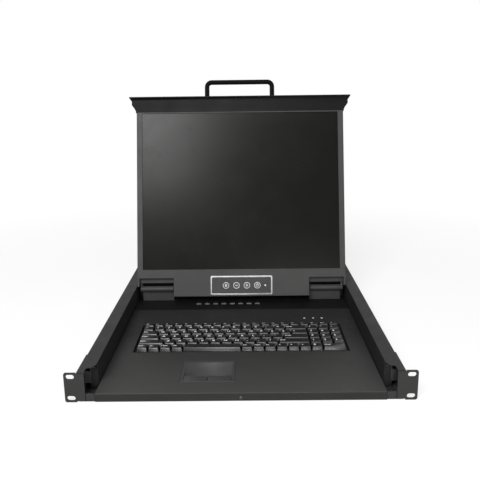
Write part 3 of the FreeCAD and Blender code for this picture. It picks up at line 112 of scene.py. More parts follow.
class Nodes:
    """A material's node tree, written as short calls that return the new node's output."""

    def __init__(self, name):
        self.material = bpy.data.materials.new(name)
        self.material.use_nodes = True
        self.tree = self.material.node_tree
        self.tree.nodes.clear()
        self.place = self.add("ShaderNodeTexCoord").outputs["Object"]

    def add(self, kind, **settings):
        node = self.tree.nodes.new(kind)
        for name, value in settings.items():
            setattr(node, name, value)
        return node

    def feed(self, socket, value):
        if isinstance(value, bpy.types.NodeSocket):
            self.tree.links.new(value, socket)
        else:
            socket.default_value = value

    def noise(self, scale, detail=2.0, rough=0.5, stretch=None):
        place = self.place
        if stretch:
            mapping = self.add("ShaderNodeMapping")
            self.feed(mapping.inputs["Vector"], place)
            mapping.inputs["Scale"].default_value = stretch
            place = mapping.outputs["Vector"]
        node = self.add("ShaderNodeTexNoise")
        self.feed(node.inputs["Vector"], place)
        node.inputs["Scale"].default_value = scale
        node.inputs["Detail"].default_value = detail
        node.inputs["Roughness"].default_value = rough
        return node.outputs["Fac"]

    def span(self, value, low, high, to_low, to_high):
        node = self.add("ShaderNodeMapRange")
        self.feed(node.inputs["Value"], value)
        ends = {"From Min": low, "From Max": high, "To Min": to_low, "To Max": to_high}
        for name, number in ends.items():
            node.inputs[name].default_value = number
        return node.outputs["Result"]

    def patches(self, scale, detail, low, high, rough=0.5):
        """Noise whose usual values, 0.3 to 0.7, run from low to high."""
        return self.span(self.noise(scale, detail, rough), 0.3, 0.7, low, high)

    def mix(self, factor, first, second):
        """A colour mix, whose inputs 6 and 7 and output 2 are the colour ones."""
        node = self.add("ShaderNodeMix", data_type="RGBA")
        self.feed(node.inputs[0], factor)
        self.feed(node.inputs[6], first)
        self.feed(node.inputs[7], second)
        return node.outputs[2]

    def maths(self, operation, first, second):
        node = self.add("ShaderNodeMath", operation=operation)
        self.feed(node.inputs[0], first)
        self.feed(node.inputs[1], second)
        return node.outputs[0]

    def bump(self, height, strength, distance, normal=None):
        node = self.add("ShaderNodeBump")
        self.feed(node.inputs["Height"], height)
        node.inputs["Strength"].default_value = strength
        node.inputs["Distance"].default_value = distance
        if normal:
            self.feed(node.inputs["Normal"], normal)
        return node.outputs["Normal"]

    def rounded(self, radius):
        """A normal that rounds sharp edges, and a mask that is 1 along them."""
        bevel = self.add("ShaderNodeBevel", samples=4)
        bevel.inputs["Radius"].default_value = radius
        flat = self.add("ShaderNodeNewGeometry")
        dot = self.add("ShaderNodeVectorMath", operation="DOT_PRODUCT")
        self.feed(dot.inputs[0], bevel.outputs["Normal"])
        self.feed(dot.inputs[1], flat.outputs["Normal"])
        return bevel.outputs["Normal"], self.span(dot.outputs["Value"], 0.98, 0.8, 0.0, 1.0)

    def finish(self, **inputs):
        shader = self.add("ShaderNodeBsdfPrincipled")
        for name, value in inputs.items():
            self.feed(shader.inputs[name.replace("_", " ")], value)
        output = self.add("ShaderNodeOutputMaterial")
        self.feed(output.inputs["Surface"], shader.outputs["BSDF"])
        return self.material


PLAIN = (1.0, 1.0, 1.0)
WARM_BLACK = (1.0, 1.0, 0.98)


def grey(level, tint=PLAIN):
    """A display grey level from 0 to 255 as a linear colour."""
    value = (level / 255) ** 2.2
    return (value * tint[0], value * tint[1], value * tint[2], 1.0)


def powder_coat(name, level, edge=1.5, rough=0.52, grain=0.25, gleam=0.22, painted_front_light=0.0):
    """Textured powder coat: an orange-peel grain, faint clouding, and a painted highlight along the edges, in
    patches.

    Level is its grey from 0 to 255, and edge how many times lighter the painted edge highlight is.
    Gleam is the specular level. The last argument is painted light: how much lighter the upward faces are
    painted towards the user's end.
    """
    n = Nodes(name)
    shade = functools.partial(grey, tint=WARM_BLACK)
    speck = n.span(n.noise(1400, 2), 0.35, 0.7, 0.0, 1.0)
    base = n.mix(n.patches(14, 4, 0.0, 1.0, 0.6), shade(level * 0.93), shade(level * 1.05))
    base = n.mix(n.maths("MULTIPLY", speck, 0.35), base, shade(level * 1.2))
    normal, edge_highlight = n.rounded(0.6 * MM)
    # painted highlight: the edges' colour is painted lighter, in patches
    patchy_edge_highlight = n.maths("MULTIPLY", edge_highlight, n.span(n.noise(90, 4, 0.7), 0.35, 0.65, 0.3, 1.0))
    base = n.mix(patchy_edge_highlight, base, shade(level * edge))
    # painted light: the upward faces are painted lighter towards the user's end
    if painted_front_light:
        place, facing = n.add("ShaderNodeSeparateXYZ"), n.add("ShaderNodeSeparateXYZ")
        n.feed(place.inputs[0], n.place)
        n.feed(facing.inputs[0], n.add("ShaderNodeNewGeometry").outputs["Normal"])
        near = n.span(place.outputs["Y"], 0.0, 0.2, 1.0, 0.0)
        front_light_mask = n.maths("MULTIPLY", near, facing.outputs["Z"])
        base = n.mix(front_light_mask, base, shade(level * (1 + painted_front_light)))
    spread = 0.06
    patch_gloss = n.patches(30, 4, rough - spread, rough + spread)
    gloss = n.maths("ADD", patch_gloss, n.maths("MULTIPLY", speck, spread))
    grain_normal = n.bump(n.noise(1100, 3), grain, 0.2 * MM, normal)
    return n.finish(Base_Color=base, Roughness=gloss, Specular_IOR_Level=gleam, Normal=grain_normal)


def moulded(name, level, rough=0.45, grain=0.15, tint=PLAIN, gleam=0.3):
    """Moulded plastic with a fine spark-eroded grain, softened edges, and a painted highlight along them."""
    n = Nodes(name)
    base = n.mix(n.patches(40, 3, 0.0, 1.0), grey(level * 0.94, tint), grey(level * 1.06, tint))
    normal, edge_highlight = n.rounded(0.5 * MM)
    # painted highlight: the edges are painted lighter
    base = n.mix(n.maths("MULTIPLY", edge_highlight, 0.6), base, grey(level * 1.5, tint))
    gloss = n.patches(220, 3, rough - 0.07, rough + 0.07)
    grain_normal = n.bump(n.noise(1800, 2), grain, 0.1 * MM, normal)
    return n.finish(Base_Color=base, Roughness=gloss, Specular_IOR_Level=gleam, Normal=grain_normal)


def drawn_metal(name, level, stretch, rough):
    """Metal with fine drawn or brushed lines along the axis that the stretch shortens, and faint stains."""
    n = Nodes(name)
    lines = n.noise(900, 3, 0.6, stretch)
    stain = n.span(n.noise(25, 4, 0.6), 0.35, 0.65, 0.0, 1.0)
    base = n.mix(stain, grey(level * 0.9), grey(level * 1.06))
    base = n.mix(n.span(lines, 0.3, 0.7, 0.0, 0.4), base, grey(level * 0.75))
    normal, edge_highlight = n.rounded(0.4 * MM)
    # painted highlight: the edges are painted lighter
    base = n.mix(n.maths("MULTIPLY", edge_highlight, 0.5), base, grey(level * 1.3))
    gloss = n.span(lines, 0.3, 0.7, rough - 0.08, rough + 0.1)
    line_normal = n.bump(lines, 0.12, 0.1 * MM, normal)
    return n.finish(Base_Color=base, Metallic=1.0, Roughness=gloss, Normal=line_normal)


def display_glass(name):
    """The panel's glass: nearly black with a green cast, a low gloss, and a trace of dust."""
    n = Nodes(name)
    dust = n.span(n.noise(9, 5, 0.7), 0.4, 0.8, 0.0, 1.0)
    base = n.mix(dust, (0.0020, 0.0024, 0.0014, 1), (0.0032, 0.0036, 0.0024, 1))
    gloss = n.patches(20, 5, 0.24, 0.28, 0.6)
    return n.finish(Base_Color=base, Roughness=gloss, Specular_IOR_Level=0.10)


def circuit_board(name):
    """Green solder mask over a faint pattern of copper tracks."""
    n = Nodes(name)
    tracks = n.add("ShaderNodeTexBrick")
    n.feed(tracks.inputs["Vector"], n.place)
    tracks.inputs["Scale"].default_value = 260
    tracks.inputs["Mortar Size"].default_value = 0.03
    base = n.mix(tracks.outputs["Fac"], (0.012, 0.075, 0.03, 1), (0.03, 0.14, 0.05, 1))
    gloss = n.patches(60, 3, 0.25, 0.4)
    relief = n.bump(tracks.outputs["Fac"], 0.2, 0.1 * MM)
    return n.finish(Base_Color=base, Roughness=gloss, Normal=relief)


def ink(name, level):
    """Printed or moulded-in marking, slightly uneven."""
    n = Nodes(name)
    base = n.mix(n.patches(700, 3, 0.0, 1.0), grey(level * 0.86), grey(level))
    return n.finish(Base_Color=base, Roughness=n.patches(300, 2, 0.4, 0.6))


# which way a metal's lines run: the noise is drawn out along the axis with the small number
FRONT_TO_BACK = (1.0, 0.02, 1.0)
ACROSS = (0.02, 1.0, 1.0)
LOOKS = {
    # edge: how much lighter the painted edge highlight of each powder coat is
    "chassis_paint": powder_coat("chassis_paint", 46, edge=1.3, gleam=0.08),
    "slide_steel": drawn_metal("slide_steel", 120, FRONT_TO_BACK, 0.38),
    "tray_paint": powder_coat("tray_paint", 28),
    # the deck's top is painted lighter towards the user: painted light
    "deck_paint": powder_coat("deck_paint", 37, edge=1.35, gleam=0.12, painted_front_light=0.55),
    "kvm_paint": powder_coat("kvm_paint", 18, gleam=0.16),
    "housing_paint": powder_coat("housing_paint", 30),
    "hinge_paint": powder_coat("hinge_paint", 50),
    "hinge_steel": powder_coat("hinge_steel", 50, rough=0.4),
    "screw_steel": drawn_metal("screw_steel", 90, ACROSS, 0.35),
    "latch_plastic": moulded("latch_plastic", 36),
    "key_frame_plastic": moulded("key_frame_plastic", 30),
    "membrane_rubber": moulded("membrane_rubber", 55, 0.7, 0.3),
    "key_plastic": moulded("key_plastic", 26, 0.34, gleam=0.5),
    "pad_plastic": moulded("pad_plastic", 50, 0.58),
    "pad_button_plastic": moulded("pad_button_plastic", 54, 0.38),
    "light_plastic": moulded("light_plastic", 205, 0.3, 0.05),
    "port_button_plastic": moulded("port_button_plastic", 88, 0.4),
    "connector_plastic": moulded("connector_plastic", 60, 0.4, tint=(0.5, 0.75, 1.6)),
    "board_green": circuit_board("board_green"),
    "supply_parts": moulded("supply_parts", 70, 0.5, tint=(1.0, 0.9, 0.7)),
    "inlet_plastic": moulded("inlet_plastic", 26, 0.45),
    "bezel_paint": powder_coat("bezel_paint", 49, edge=1.25),
    "lid_paint": powder_coat("lid_paint", 42),
    "display_glass": display_glass("display_glass"),
    "display_module": drawn_metal("display_module", 150, ACROSS, 0.4),
    "menu_aluminium": drawn_metal("menu_aluminium", 135, ACROSS, 0.4),
    "menu_button_plastic": moulded("menu_button_plastic", 58, 0.38),
    "fascia_paint": powder_coat("fascia_paint", 17, edge=1.6, gleam=0.12),
    "handle_paint": powder_coat("handle_paint", 13, grain=0.15, gleam=0.04),
}
LEGEND = ink("key_legend", 235)
PRINT = ink("printed_mark", 205)
FAINT = ink("port_mark", 110)
# painted shade: a dark plastic that stands in for the shade inside holes
HOLE_SHADE = moulded("painted_hole_shade", 12, 0.7)


def paint_nodes():
    """Give every CAD node the finish its record slot names."""
    for node in NODES.values():
        for slot in node.material_slots:
            slot.material = LOOKS[slot.material.name.split(".")[0]]


# ---------- mesh helpers ----------

def new_piece(name, mesh, node, slot, material=None):
    """A visible piece that moves with a node. Its look is its record slot's, unless one is given."""
    body = NODES[node]["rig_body"]
    piece = bpy.data.objects.new(name, mesh)
    bpy.context.scene.collection.objects.link(piece)
    piece.data.materials.append(material or LOOKS[slot])
    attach(piece, body)
    return piece


def mesh_from(shape, name):
    """A mesh made from a bmesh, which is freed."""
    mesh = bpy.data.meshes.new(name)
    shape.to_mesh(mesh)
    shape.free()
    return mesh


def soften(name, width, segments=2):
    """Stand a copy of a node with rounded edges in for it."""
    shape = bmesh.new()
    shape.from_mesh(NODES[name].data)
    bmesh.ops.remove_doubles(shape, verts=shape.verts, dist=TINY)
    bmesh.ops.dissolve_limit(shape, angle_limit=math.radians(1), verts=shape.verts, edges=shape.edges)
    slot = NODES[name].material_slots[0].material.name.split(".")[0]
    piece = new_piece(name + "_soft", mesh_from(shape, name), name, slot)
    round_off(piece, width, segments)
    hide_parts(name)


def round_off(piece, width, segments=2):
    """Round a piece's outward edges with a bevel, leaving its inside corners sharp."""
    shape = bmesh.new()
    shape.from_mesh(piece.data)
    weight = shape.edges.layers.float.new("bevel_weight_edge")
    for edge in shape.edges:
        sharp = edge.is_manifold and edge.is_convex and edge.calc_face_angle(0) > math.radians(20)
        edge[weight] = 1.0 if sharp else 0.0
    for face in shape.faces:
        face.smooth = True
    shape.to_mesh(piece.data)
    shape.free()
    bevel = piece.modifiers.new("bevel", "BEVEL")
    bevel.width = width
    bevel.segments = segments
    bevel.limit_method = "WEIGHT"
    bevel.harden_normals = True


def bridge(shape, first, second):
    """The ring of faces between two closed loops with as many corners each."""
    for step in range(len(first)):
        following = (step + 1) % len(first)
        shape.faces.new((first[step], first[following], second[following], second[step]))


# ---------- keys ----------

KEY_PITCH = 18.6 * MM
KEY_COLUMNS = 18  # the width of the keyboard in key pitches
LEGENDS = {
    "modifier_keys": ["Ctrl", "Fn", "Meta", "Alt", "", "Alt", "Meta", "Fn", "◂", "▾", "▸", "0", "Enter"],
    "lower_keys": ["Shift", *"ZXCVBNM", ",", ".", "/", "Shift", *"123"],
    "home_keys": ["Caps", *"ASDFGHJKL", ";", "'", "Enter", *"456"],
    "upper_keys": ["Tab", *"QWERTYUIOP", "[", "]", "\\", *"789"],
    "number_keys": ["`", *"1234567890", "-", "=", "Back", "/", "*", "-"],
    "function_keys": ["Esc", "F1", "F2", "F3", "F4", "F5", "F6", "F7", "F8", "F9", "F10", "F11", "F12",
                      "Prt", "Scr", "Brk", "Ins", "Del", "Num", "+"],
}
# each key's width in key pitches
WIDTHS = {
    "modifier_keys": [1] * 4 + [5] + [1] * 6 + [1, 2],
    "lower_keys": [2.25] + [1] * 10 + [2.75] + [1] * 3,
    "home_keys": [1.75] + [1] * 11 + [2.25] + [1] * 3,
    "upper_keys": [1.5] + [1] * 12 + [1.5] + [1] * 3,
    "number_keys": [1] * 13 + [2] + [1] * 3,
    "function_keys": [KEY_COLUMNS / len(LEGENDS["function_keys"])] * len(LEGENDS["function_keys"]),
}


def letters(text, size, at, align="CENTER"):
    """Flat letters as a mesh in the XY plane."""
    curve = bpy.data.curves.new("text", "FONT")
    curve.body = text
    curve.size = size
    curve.align_x = align
    curve.align_y = "CENTER"
    curve.resolution_u = 2
    curve.offset = size * 0.02
    word = bpy.data.objects.new("text", curve)
    mesh = bpy.data.meshes.new_from_object(word)
    bpy.data.objects.remove(word)
    bpy.data.curves.remove(curve)
    mesh.transform(Matrix.Translation(at))
    return mesh


def join_meshes(name, meshes):
    """One mesh from several, which are removed."""
    shape = bmesh.new()
    for mesh in meshes:
        shape.from_mesh(mesh)
        bpy.data.meshes.remove(mesh)
    return mesh_from(shape, name)


def make_keys():
    """Rounded keycaps, and their legends on the tops."""
    letter_inset, word_inset, upward = 4.0 * MM, 2.8 * MM, 1.8 * MM
    word_size = 0.62
    for row, words in LEGENDS.items():
        soften(row, 0.9 * MM, 3)
        low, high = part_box(row)
        size = 5.2 * MM if row == "function_keys" else 7.6 * MM
        y = (low.y + high.y) / 2 + upward
        left = -KEY_COLUMNS / 2 * KEY_PITCH
        marks = []
        for word, width in zip(words, WIDTHS[row]):
            is_letter = len(word) < 2
            if word:
                place = Vector((left + (letter_inset if is_letter else word_inset), y, high.z + IN_FRONT))
                marks.append(letters(word, size if is_letter else size * word_size, place, align="LEFT"))
            left += width * KEY_PITCH
        name = row + "_legends"
        new_piece(name, join_meshes(name, marks), row, "key_plastic", LEGEND)
    soften("space_bar", 0.6 * MM)


# ---------- menu, port and status marks ----------

def ring(shape, centre, outer, inner, axes, sides=24):
    """A flat ring in the plane of two axes."""
    loops = []
    for radius in (outer, inner):
        loop = []
        for step in range(sides):
            angle = 2 * math.pi * step / sides
            spot = centre + axes[0] * math.cos(angle) * radius + axes[1] * math.sin(angle) * radius
            loop.append(shape.verts.new(spot))
        loops.append(loop)
    bridge(shape, *loops)


def bar(shape, centre, half_a, half_b, axes):
    """A flat bar in the plane of two axes."""
    corners = [shape.verts.new(centre + axes[0] * a * half_a + axes[1] * b * half_b)
               for a, b in ((-1, -1), (1, -1), (1, 1), (-1, 1))]
    shape.faces.new(corners)


def lid_axes():
    """The lid's X, up-the-lid and out-of-the-lid directions, read from the glass's own mesh."""
    faces = NODES["lcd_glass"].data.polygons
    front = max(faces, key=lambda face: face.area if face.normal.y < 0 else 0)
    out = front.normal.copy()
    across = Vector((1, 0, 0))
    return across, out.cross(across).normalized(), out


def front_middle(name, axes):
    """The middle of a node's front face in the lid's directions."""
    spots = [[vertex.co.dot(axis) for axis in axes] for vertex in NODES[name].data.vertices]
    spans = [(min(values), max(values)) for values in zip(*spots)]
    middle = [(low + high) / 2 for low, high in spans]
    return axes[0] * middle[0] + axes[1] * middle[1] + axes[2] * (spans[2][1] + IN_FRONT)


def list_sign(shape, middle, flat):
    for turn in (-1, 0, 1):
        bar(shape, middle + flat[1] * turn * 1.5 * MM, 2.0 * MM, 0.45 * MM, flat)


def minus_sign(shape, middle, flat):
    bar(shape, middle, 2.4 * MM, 0.5 * MM, flat)


def plus_sign(shape, middle, flat):
    minus_sign(shape, middle, flat)
    bar(shape, middle, 0.5 * MM, 2.4 * MM, flat)


def power_sign(shape, middle, flat):
    ring(shape, middle, 2.7 * MM, 2.0 * MM, flat)
    bar(shape, middle + flat[1] * 2.0 * MM, 0.45 * MM, 1.5 * MM, flat)


def make_menu_marks():
    """A ring and a plain sign on each menu button."""
    axes = lid_axes()
    flat = axes[:2]
    for number, draw_sign in enumerate((list_sign, minus_sign, plus_sign, power_sign), start=1):
        name = f"menu_button_{number}"
        middle = front_middle(name, axes)
        shape = bmesh.new()
        ring(shape, middle, 6.0 * MM, 5.1 * MM, flat)
        draw_sign(shape, middle, flat)
        new_piece(name + "_sign", mesh_from(shape, name), name, "menu_button_plastic", PRINT)
        soften(name, 0.5 * MM)


def make_port_marks():
    """A number behind each port button."""
    marks = []
    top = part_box("kvm_cover")[1].z
    for number in range(1, 9):
        low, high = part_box(f"port_button_{number}")
        place = Vector(((low.x + high.x) / 2, high.y + 5 * MM, top + IN_FRONT))
        marks.append(letters(str(number), 4.2 * MM, place))
        soften(f"port_button_{number}", 0.4 * MM)
    new_piece("port_numbers", join_meshes("port_numbers", marks), "kvm_cover", "kvm_paint", FAINT)


# ---------- small parts ----------

def loose_parts(name):
    """The boxes of a node's separate solids."""
    shape = bmesh.new()
    shape.from_mesh(NODES[name].data)
    bmesh.ops.remove_doubles(shape, verts=shape.verts, dist=TINY)
    left, boxes = set(shape.verts), []
    while left:
        found, waiting = set(), [left.pop()]
        while waiting:
            vert = waiting.pop()
            found.add(vert)
            for link in vert.link_edges:
                other = link.other_vert(vert)
                if other in left:
                    left.remove(other)
                    waiting.append(other)
        corners = [vert.co for vert in found]
        boxes.append((Vector(map(min, zip(*corners))), Vector(map(max, zip(*corners)))))
    shape.free()
    return boxes


def screw(shape, top, out, radius, head, length):
    """A pan-head screw, drawn from the middle of its top: a domed rim, a real cross recess and a shank.

    Each row of the profile is an outline with 16 corners, its size, and how far along out it lies.
    """
    across = out.orthogonal().normalized()
    other = out.cross(across)
    arm, slit = radius * 0.55, radius * 0.15
    quarter = [(arm, 0), (arm, slit), (slit, slit), (slit, arm)]
    recess = []
    for turn in range(4):
        for x, y in quarter:
            for _ in range(turn):
                x, y = -y, x
            recess.append((x, y))
    rim = [(math.cos(math.pi / 8 * step), math.sin(math.pi / 8 * step)) for step in range(16)]
    shank = radius * 0.4
    profile = [
        (rim, shank, -length), (rim, shank, -head), (rim, radius, -head), (rim, radius, -head * 0.45),
        (rim, radius * 0.86, -head * 0.12), (rim, radius * 0.66, 0), (recess, 1, 0), (recess, 0.8, -head * 0.8),
    ]
    loops = []
    for outline, size, depth in profile:
        loops.append([shape.verts.new(top + (across * x + other * y) * size + out * depth) for x, y in outline])
    for first, second in zip(loops, loops[1:]):
        bridge(shape, first, second)
    shape.faces.new(reversed(loops[0]))
    shape.faces.new(loops[-1])


def make_screws():
    """The covers', the lip's and the ears' screws, each in the room of its CAD solid."""
    front = 50 * MM
    for name in ("cover_screws", "ear_screws"):
        shape = bmesh.new()
        for low, high in loose_parts(name):
            middle = (low + high) / 2
            size = high - low
            if name == "ear_screws":
                out = Vector((math.copysign(1, middle.x), 0, 0))
                radius, length = size.y / 2, size.x
            elif high.y < front:
                out = Vector((0, -1, 0))
                radius, length = size.x / 2, size.y
            else:
                out = Vector((0, 0, 1))
                radius, length = size.x / 2, size.z
            screw(shape, middle + out * length / 2, out, radius, min(length * 0.98, radius * 0.6), length)
        piece = new_piece(name + "_heads", mesh_from(shape, name), name, "screw_steel")
        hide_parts(name)


def add_box(shape, low, high):
    """A box's eight corners and six faces."""
    corners = [shape.verts.new((x, y, z)) for x in (low[0], high[0]) for y in (low[1], high[1])
               for z in (low[2], high[2])]
    for loop in ((0, 1, 3, 2), (4, 6, 7, 5), (0, 4, 5, 1), (2, 3, 7, 6), (0, 2, 6, 4), (1, 5, 7, 3)):
        shape.faces.new([corners[number] for number in loop])


def make_latches():
    """Each latch's rounded knob in the lip's corner, and the low slider behind it."""
    skirt_back, skirt_top = 1.1 * MM, 2.6 * MM
    knob_bottom, knob_back = 2.3 * MM, 3.6 * MM
    slider_front, slider_bottom, slider_top = 3.4 * MM, 2.1 * MM, 4.5 * MM
    for side in SIDES:
        name = "latch_" + side
        low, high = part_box(name)
        shape = bmesh.new()
        add_box(shape, (low.x, low.y + 0.2 * MM, low.z), (high.x, low.y + skirt_back, low.z + skirt_top))
        add_box(shape, (low.x, low.y, low.z + knob_bottom), (high.x, low.y + knob_back, high.z))
        slider_low = (low.x, low.y + slider_front, low.z + slider_bottom)
        add_box(shape, slider_low, (high.x, high.y, low.z + slider_top))
        piece = new_piece(name + "_knob", mesh_from(shape, name), name, "latch_plastic")
        round_off(piece, 0.4 * MM, 3)
        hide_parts(name)


def make_slide_ends():
    """The bent tab that ends each inner slide in front, with a rounded top."""
    gap, thick = 0.1 * MM, 1.0 * MM
    bottom, top = -17.6 * MM, 14.8 * MM
    for side in SIDES:
        low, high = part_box("inner_slide_" + side)
        outer_low, outer_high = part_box("middle_slide_" + side)
        x = (outer_low.x, high.x) if side == "left" else (low.x, outer_high.x)
        shape = bmesh.new()
        add_box(shape, (x[0], low.y - gap - thick, bottom), (x[1], low.y - gap, top))
        through = [edge for edge in shape.edges if abs(edge.verts[0].co.y - edge.verts[1].co.y) > thick / 2]
        upper = [edge for edge in through if edge.verts[0].co.z > 0]
        bmesh.ops.bevel(shape, geom=upper, offset=3.4 * MM, segments=5, profile=0.5, affect="EDGES")
        mesh = mesh_from(shape, "tab")
        new_piece("slide_tab_" + side, mesh, "inner_slide_" + side, "slide_steel", LOOKS["tray_paint"])


def make_hinge_barrels():
    """Each hinge's barrel round the pin, on a foot set back under it."""
    pin_low, pin_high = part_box("hinge_pins")
    y, z = (pin_low.y + pin_high.y) / 2, (pin_low.z + pin_high.z) / 2
    foot_front = y + 1.2 * MM
    turns = [math.radians(15) * step for step in range(-5, 13)]
    for side in SIDES:
        name = "hinge_housing_" + side
        low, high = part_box(name)
        radius = high.z - z
        round_part = [(y - math.cos(turn) * radius, z + math.sin(turn) * radius) for turn in turns]
        foot = [(high.y, low.z), (foot_front, low.z), (foot_front, round_part[0][1])]
        section = [*foot, *round_part, (high.y, z)]
        shape = bmesh.new()
        ends = [[shape.verts.new((x, *spot)) for spot in section] for x in (low.x, high.x)]
        shape.faces.new(ends[0])
        shape.faces.new(reversed(ends[1]))
        bridge(shape, *ends)
        bmesh.ops.recalc_face_normals(shape, faces=shape.faces)
        piece = new_piece(name + "_barrel", mesh_from(shape, name), name, "hinge_paint")
        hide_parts(name)


def make_socket_holes():
    """Three rows of five contact holes, drawn as dark discs of painted shade, two jack posts and a number at
    each video socket.
    """
    column_pitch, row_pitch, row_shift = 2.29 * MM, 1.98 * MM, 0.6 * MM
    post_reach = 12.5 * MM  # from the socket's middle
    upright_and_facing_back = Matrix.Rotation(math.pi, 4, "Z") @ Matrix.Rotation(math.radians(90), 4, "X")
    facing_back = (Vector((1, 0, 0)), Vector((0, 0, 1)))
    holes, posts, numbers = bmesh.new(), bmesh.new(), []
    panel_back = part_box("rear_panel")[1].y
    sockets = sorted(loose_parts("video_ports"), key=lambda pair: pair[0].x)
    for number, (low, high) in enumerate(sockets):
        middle = (low + high) / 2
        for row in (-1, 0, 1):
            for column in (-2, -1, 0, 1, 2):
                shift = Vector((column * column_pitch + row * row_shift, 0, row * row_pitch))
                spot = Vector((middle.x, high.y + IN_FRONT, middle.z)) + shift
                # painted shade: a dark disc for each contact hole
                ring(holes, spot, 0.55 * MM, 0.02 * MM, facing_back, 8)
        for side in (-1, 1):
            jack_post(posts, Vector((middle.x + side * post_reach, panel_back, middle.z)))
        text = letters(str(number) if number else "C", 4.5 * MM, Vector((0, 0, 0)))
        text.transform(upright_and_facing_back)
        text.transform(Matrix.Translation((middle.x, panel_back + IN_FRONT, high.z + 5 * MM)))
        numbers.append(text)
    new_piece("socket_contacts", mesh_from(holes, "contacts"), "rear_panel", "connector_plastic", HOLE_SHADE)
    new_piece("jack_posts", mesh_from(posts, "posts"), "rear_panel", "screw_steel")
    new_piece("socket_numbers", join_meshes("socket_numbers", numbers), "rear_panel", "tray_paint", PRINT)


def jack_post(shape, base):
    """A hexagonal post with a threaded hole, as D-shaped sockets have at each end."""
    loops = []
    corners = [(math.cos(math.pi / 3 * step), math.sin(math.pi / 3 * step)) for step in range(6)]
    for radius, depth in ((2.5, 0), (2.5, 4.2), (2.1, 4.7), (1.3, 4.7), (1.3, 2.5)):
        spots = [Vector((x * radius, depth, z * radius)) * MM for x, z in corners]
        loops.append([shape.verts.new(base + spot) for spot in spots])
    for first, second in zip(loops, loops[1:]):
        bridge(shape, second, first)
    shape.faces.new(loops[-1])


def make_edges():
    """Rounded copies of the other pieces whose edges catch the light, and the menu light's lens."""
    widths = {
        "touch_button_left": 0.3, "touch_button_right": 0.3, "menu_frame": 0.35, "touchpad": 0.5, "fascia": 0.4,
    }
    for name, width in widths.items():
        soften(name, width * MM)
    axes = lid_axes()
    lens = bmesh.new()
    spot = front_middle("menu_button_4", axes) + axes[0] * 15.0 * MM
    ring(lens, spot, 1.6 * MM, 0.2 * MM, axes[:2])
    new_piece("menu_lens", mesh_from(lens, "menu_lens"), "lcd_bezel", "light_plastic", PRINT)


# ---------- room ----------

# each lamp's place and target in metres, its size in metres and its power in watts
LAMPS = {
    "key_lamp": ((-0.66, -1.5, 1.5), (0, 0.3, 0.1), 0.8, 54),
    "fill_lamp": ((1.9, -0.9, 0.9), (0, 0.2, 0.1), 1.2, 5),
    "front_lamp": ((0.2, -1.0, 0.12), (0, 0.0, 0.0), 0.4, 5),
    "top_lamp": ((0, -0.5, 1.2), (0, -0.05, 0), 0.5, 4),
}
WORLD_STRENGTH = 0.33
FLOOR_HALF = 1.4
FLOOR_MIDDLE = 0.25
FLOOR_FADE = (0.55, 1.2)  # metres from the floor's middle where it begins and ends to fade


def make_room():
    """A pale floor, a pale world and soft lamps."""
    scene = bpy.context.scene
    scene.view_settings.view_transform = "Standard"
    make_world()

    shape = bmesh.new()
    bmesh.ops.create_grid(shape, x_segments=1, y_segments=1, size=FLOOR_HALF)
    floor = bpy.data.objects.new("floor", mesh_from(shape, "floor"))
    scene.collection.objects.link(floor)
    floor.location = (0, FLOOR_MIDDLE, CAD_BOX[0].z - 0.5 * MM)
    floor.data.materials.append(make_floor_material())

    for name, facts in LAMPS.items():
        lamp(name, *facts)


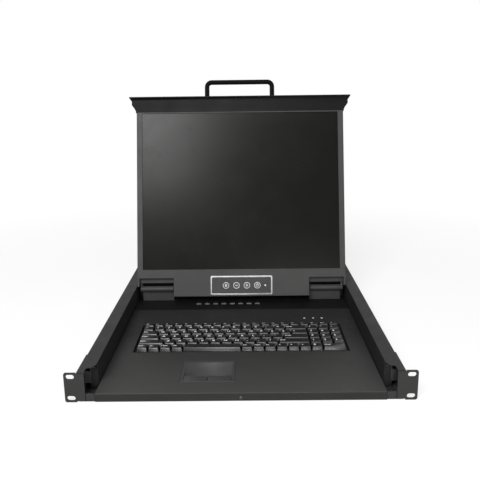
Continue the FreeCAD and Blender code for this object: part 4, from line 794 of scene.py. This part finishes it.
def make_world():
    """A dim white world for soft light, which the camera, reflections and glass see as plain white."""
    world = bpy.data.worlds.new("studio")
    bpy.context.scene.world = world
    world.use_nodes = True
    tree = world.node_tree
    tree.nodes.clear()
    path = tree.nodes.new("ShaderNodeLightPath")
    seen = path.outputs["Is Camera Ray"]
    for other in ("Is Glossy Ray", "Is Transmission Ray"):
        either = tree.nodes.new("ShaderNodeMath")
        either.operation = "MAXIMUM"
        tree.links.new(seen, either.inputs[0])
        tree.links.new(path.outputs[other], either.inputs[1])
        seen = either.outputs[0]
    both = tree.nodes.new("ShaderNodeMixShader")
    tree.links.new(seen, both.inputs[0])
    for socket, strength in ((1, WORLD_STRENGTH), (2, 1.0)):
        background = tree.nodes.new("ShaderNodeBackground")
        background.inputs["Color"].default_value = (1, 1, 1, 1)
        background.inputs["Strength"].default_value = strength
        tree.links.new(background.outputs[0], both.inputs[socket])
    output = tree.nodes.new("ShaderNodeOutputWorld")
    tree.links.new(both.outputs[0], output.inputs["Surface"])


def make_floor_material():
    """White floor that keeps the object's shadow and fades into the white world away from it."""
    share_of_glow = 0.8
    n = Nodes("floor_white")
    diffuse = n.add("ShaderNodeBsdfDiffuse")
    mottled = n.mix(n.noise(3, 2), (0.90, 0.90, 0.90, 1), (0.93, 0.93, 0.93, 1))
    n.feed(diffuse.inputs["Color"], mottled)
    glow = n.add("ShaderNodeEmission")
    path = n.add("ShaderNodeLightPath")
    seen = n.maths("MAXIMUM", path.outputs["Is Camera Ray"], path.outputs["Is Glossy Ray"])
    seen = n.maths("MAXIMUM", seen, path.outputs["Is Transmission Ray"])
    both = n.add("ShaderNodeMixShader")
    n.feed(both.inputs[0], n.maths("MULTIPLY", seen, share_of_glow))
    n.feed(both.inputs[1], diffuse.outputs[0])
    n.feed(both.inputs[2], glow.outputs[0])
    reach = n.add("ShaderNodeVectorMath", operation="LENGTH")
    n.feed(reach.inputs[0], n.place)
    fade = n.add("ShaderNodeMixShader")
    n.feed(fade.inputs[0], n.span(reach.outputs["Value"], *FLOOR_FADE, 0.0, 1.0))
    n.feed(fade.inputs[1], both.outputs[0])
    n.feed(fade.inputs[2], n.add("ShaderNodeBsdfTransparent").outputs[0])
    output = n.add("ShaderNodeOutputMaterial")
    n.feed(output.inputs["Surface"], fade.outputs[0])
    return n.material


def lamp(name, place, target, size, power):
    """A square area lamp that points at its target."""
    data = bpy.data.lights.new(name, "AREA")
    data.size = size
    data.energy = power
    light = bpy.data.objects.new(name, data)
    light.location = place
    light.rotation_euler = (Vector(target) - Vector(place)).to_track_quat("-Z", "Y").to_euler()
    bpy.context.scene.collection.objects.link(light)


make_camera()
paint_nodes()
make_keys()
make_menu_marks()
make_port_marks()
make_edges()
make_screws()
make_latches()
make_slide_ends()
make_hinge_barrels()
make_socket_holes()
make_room()
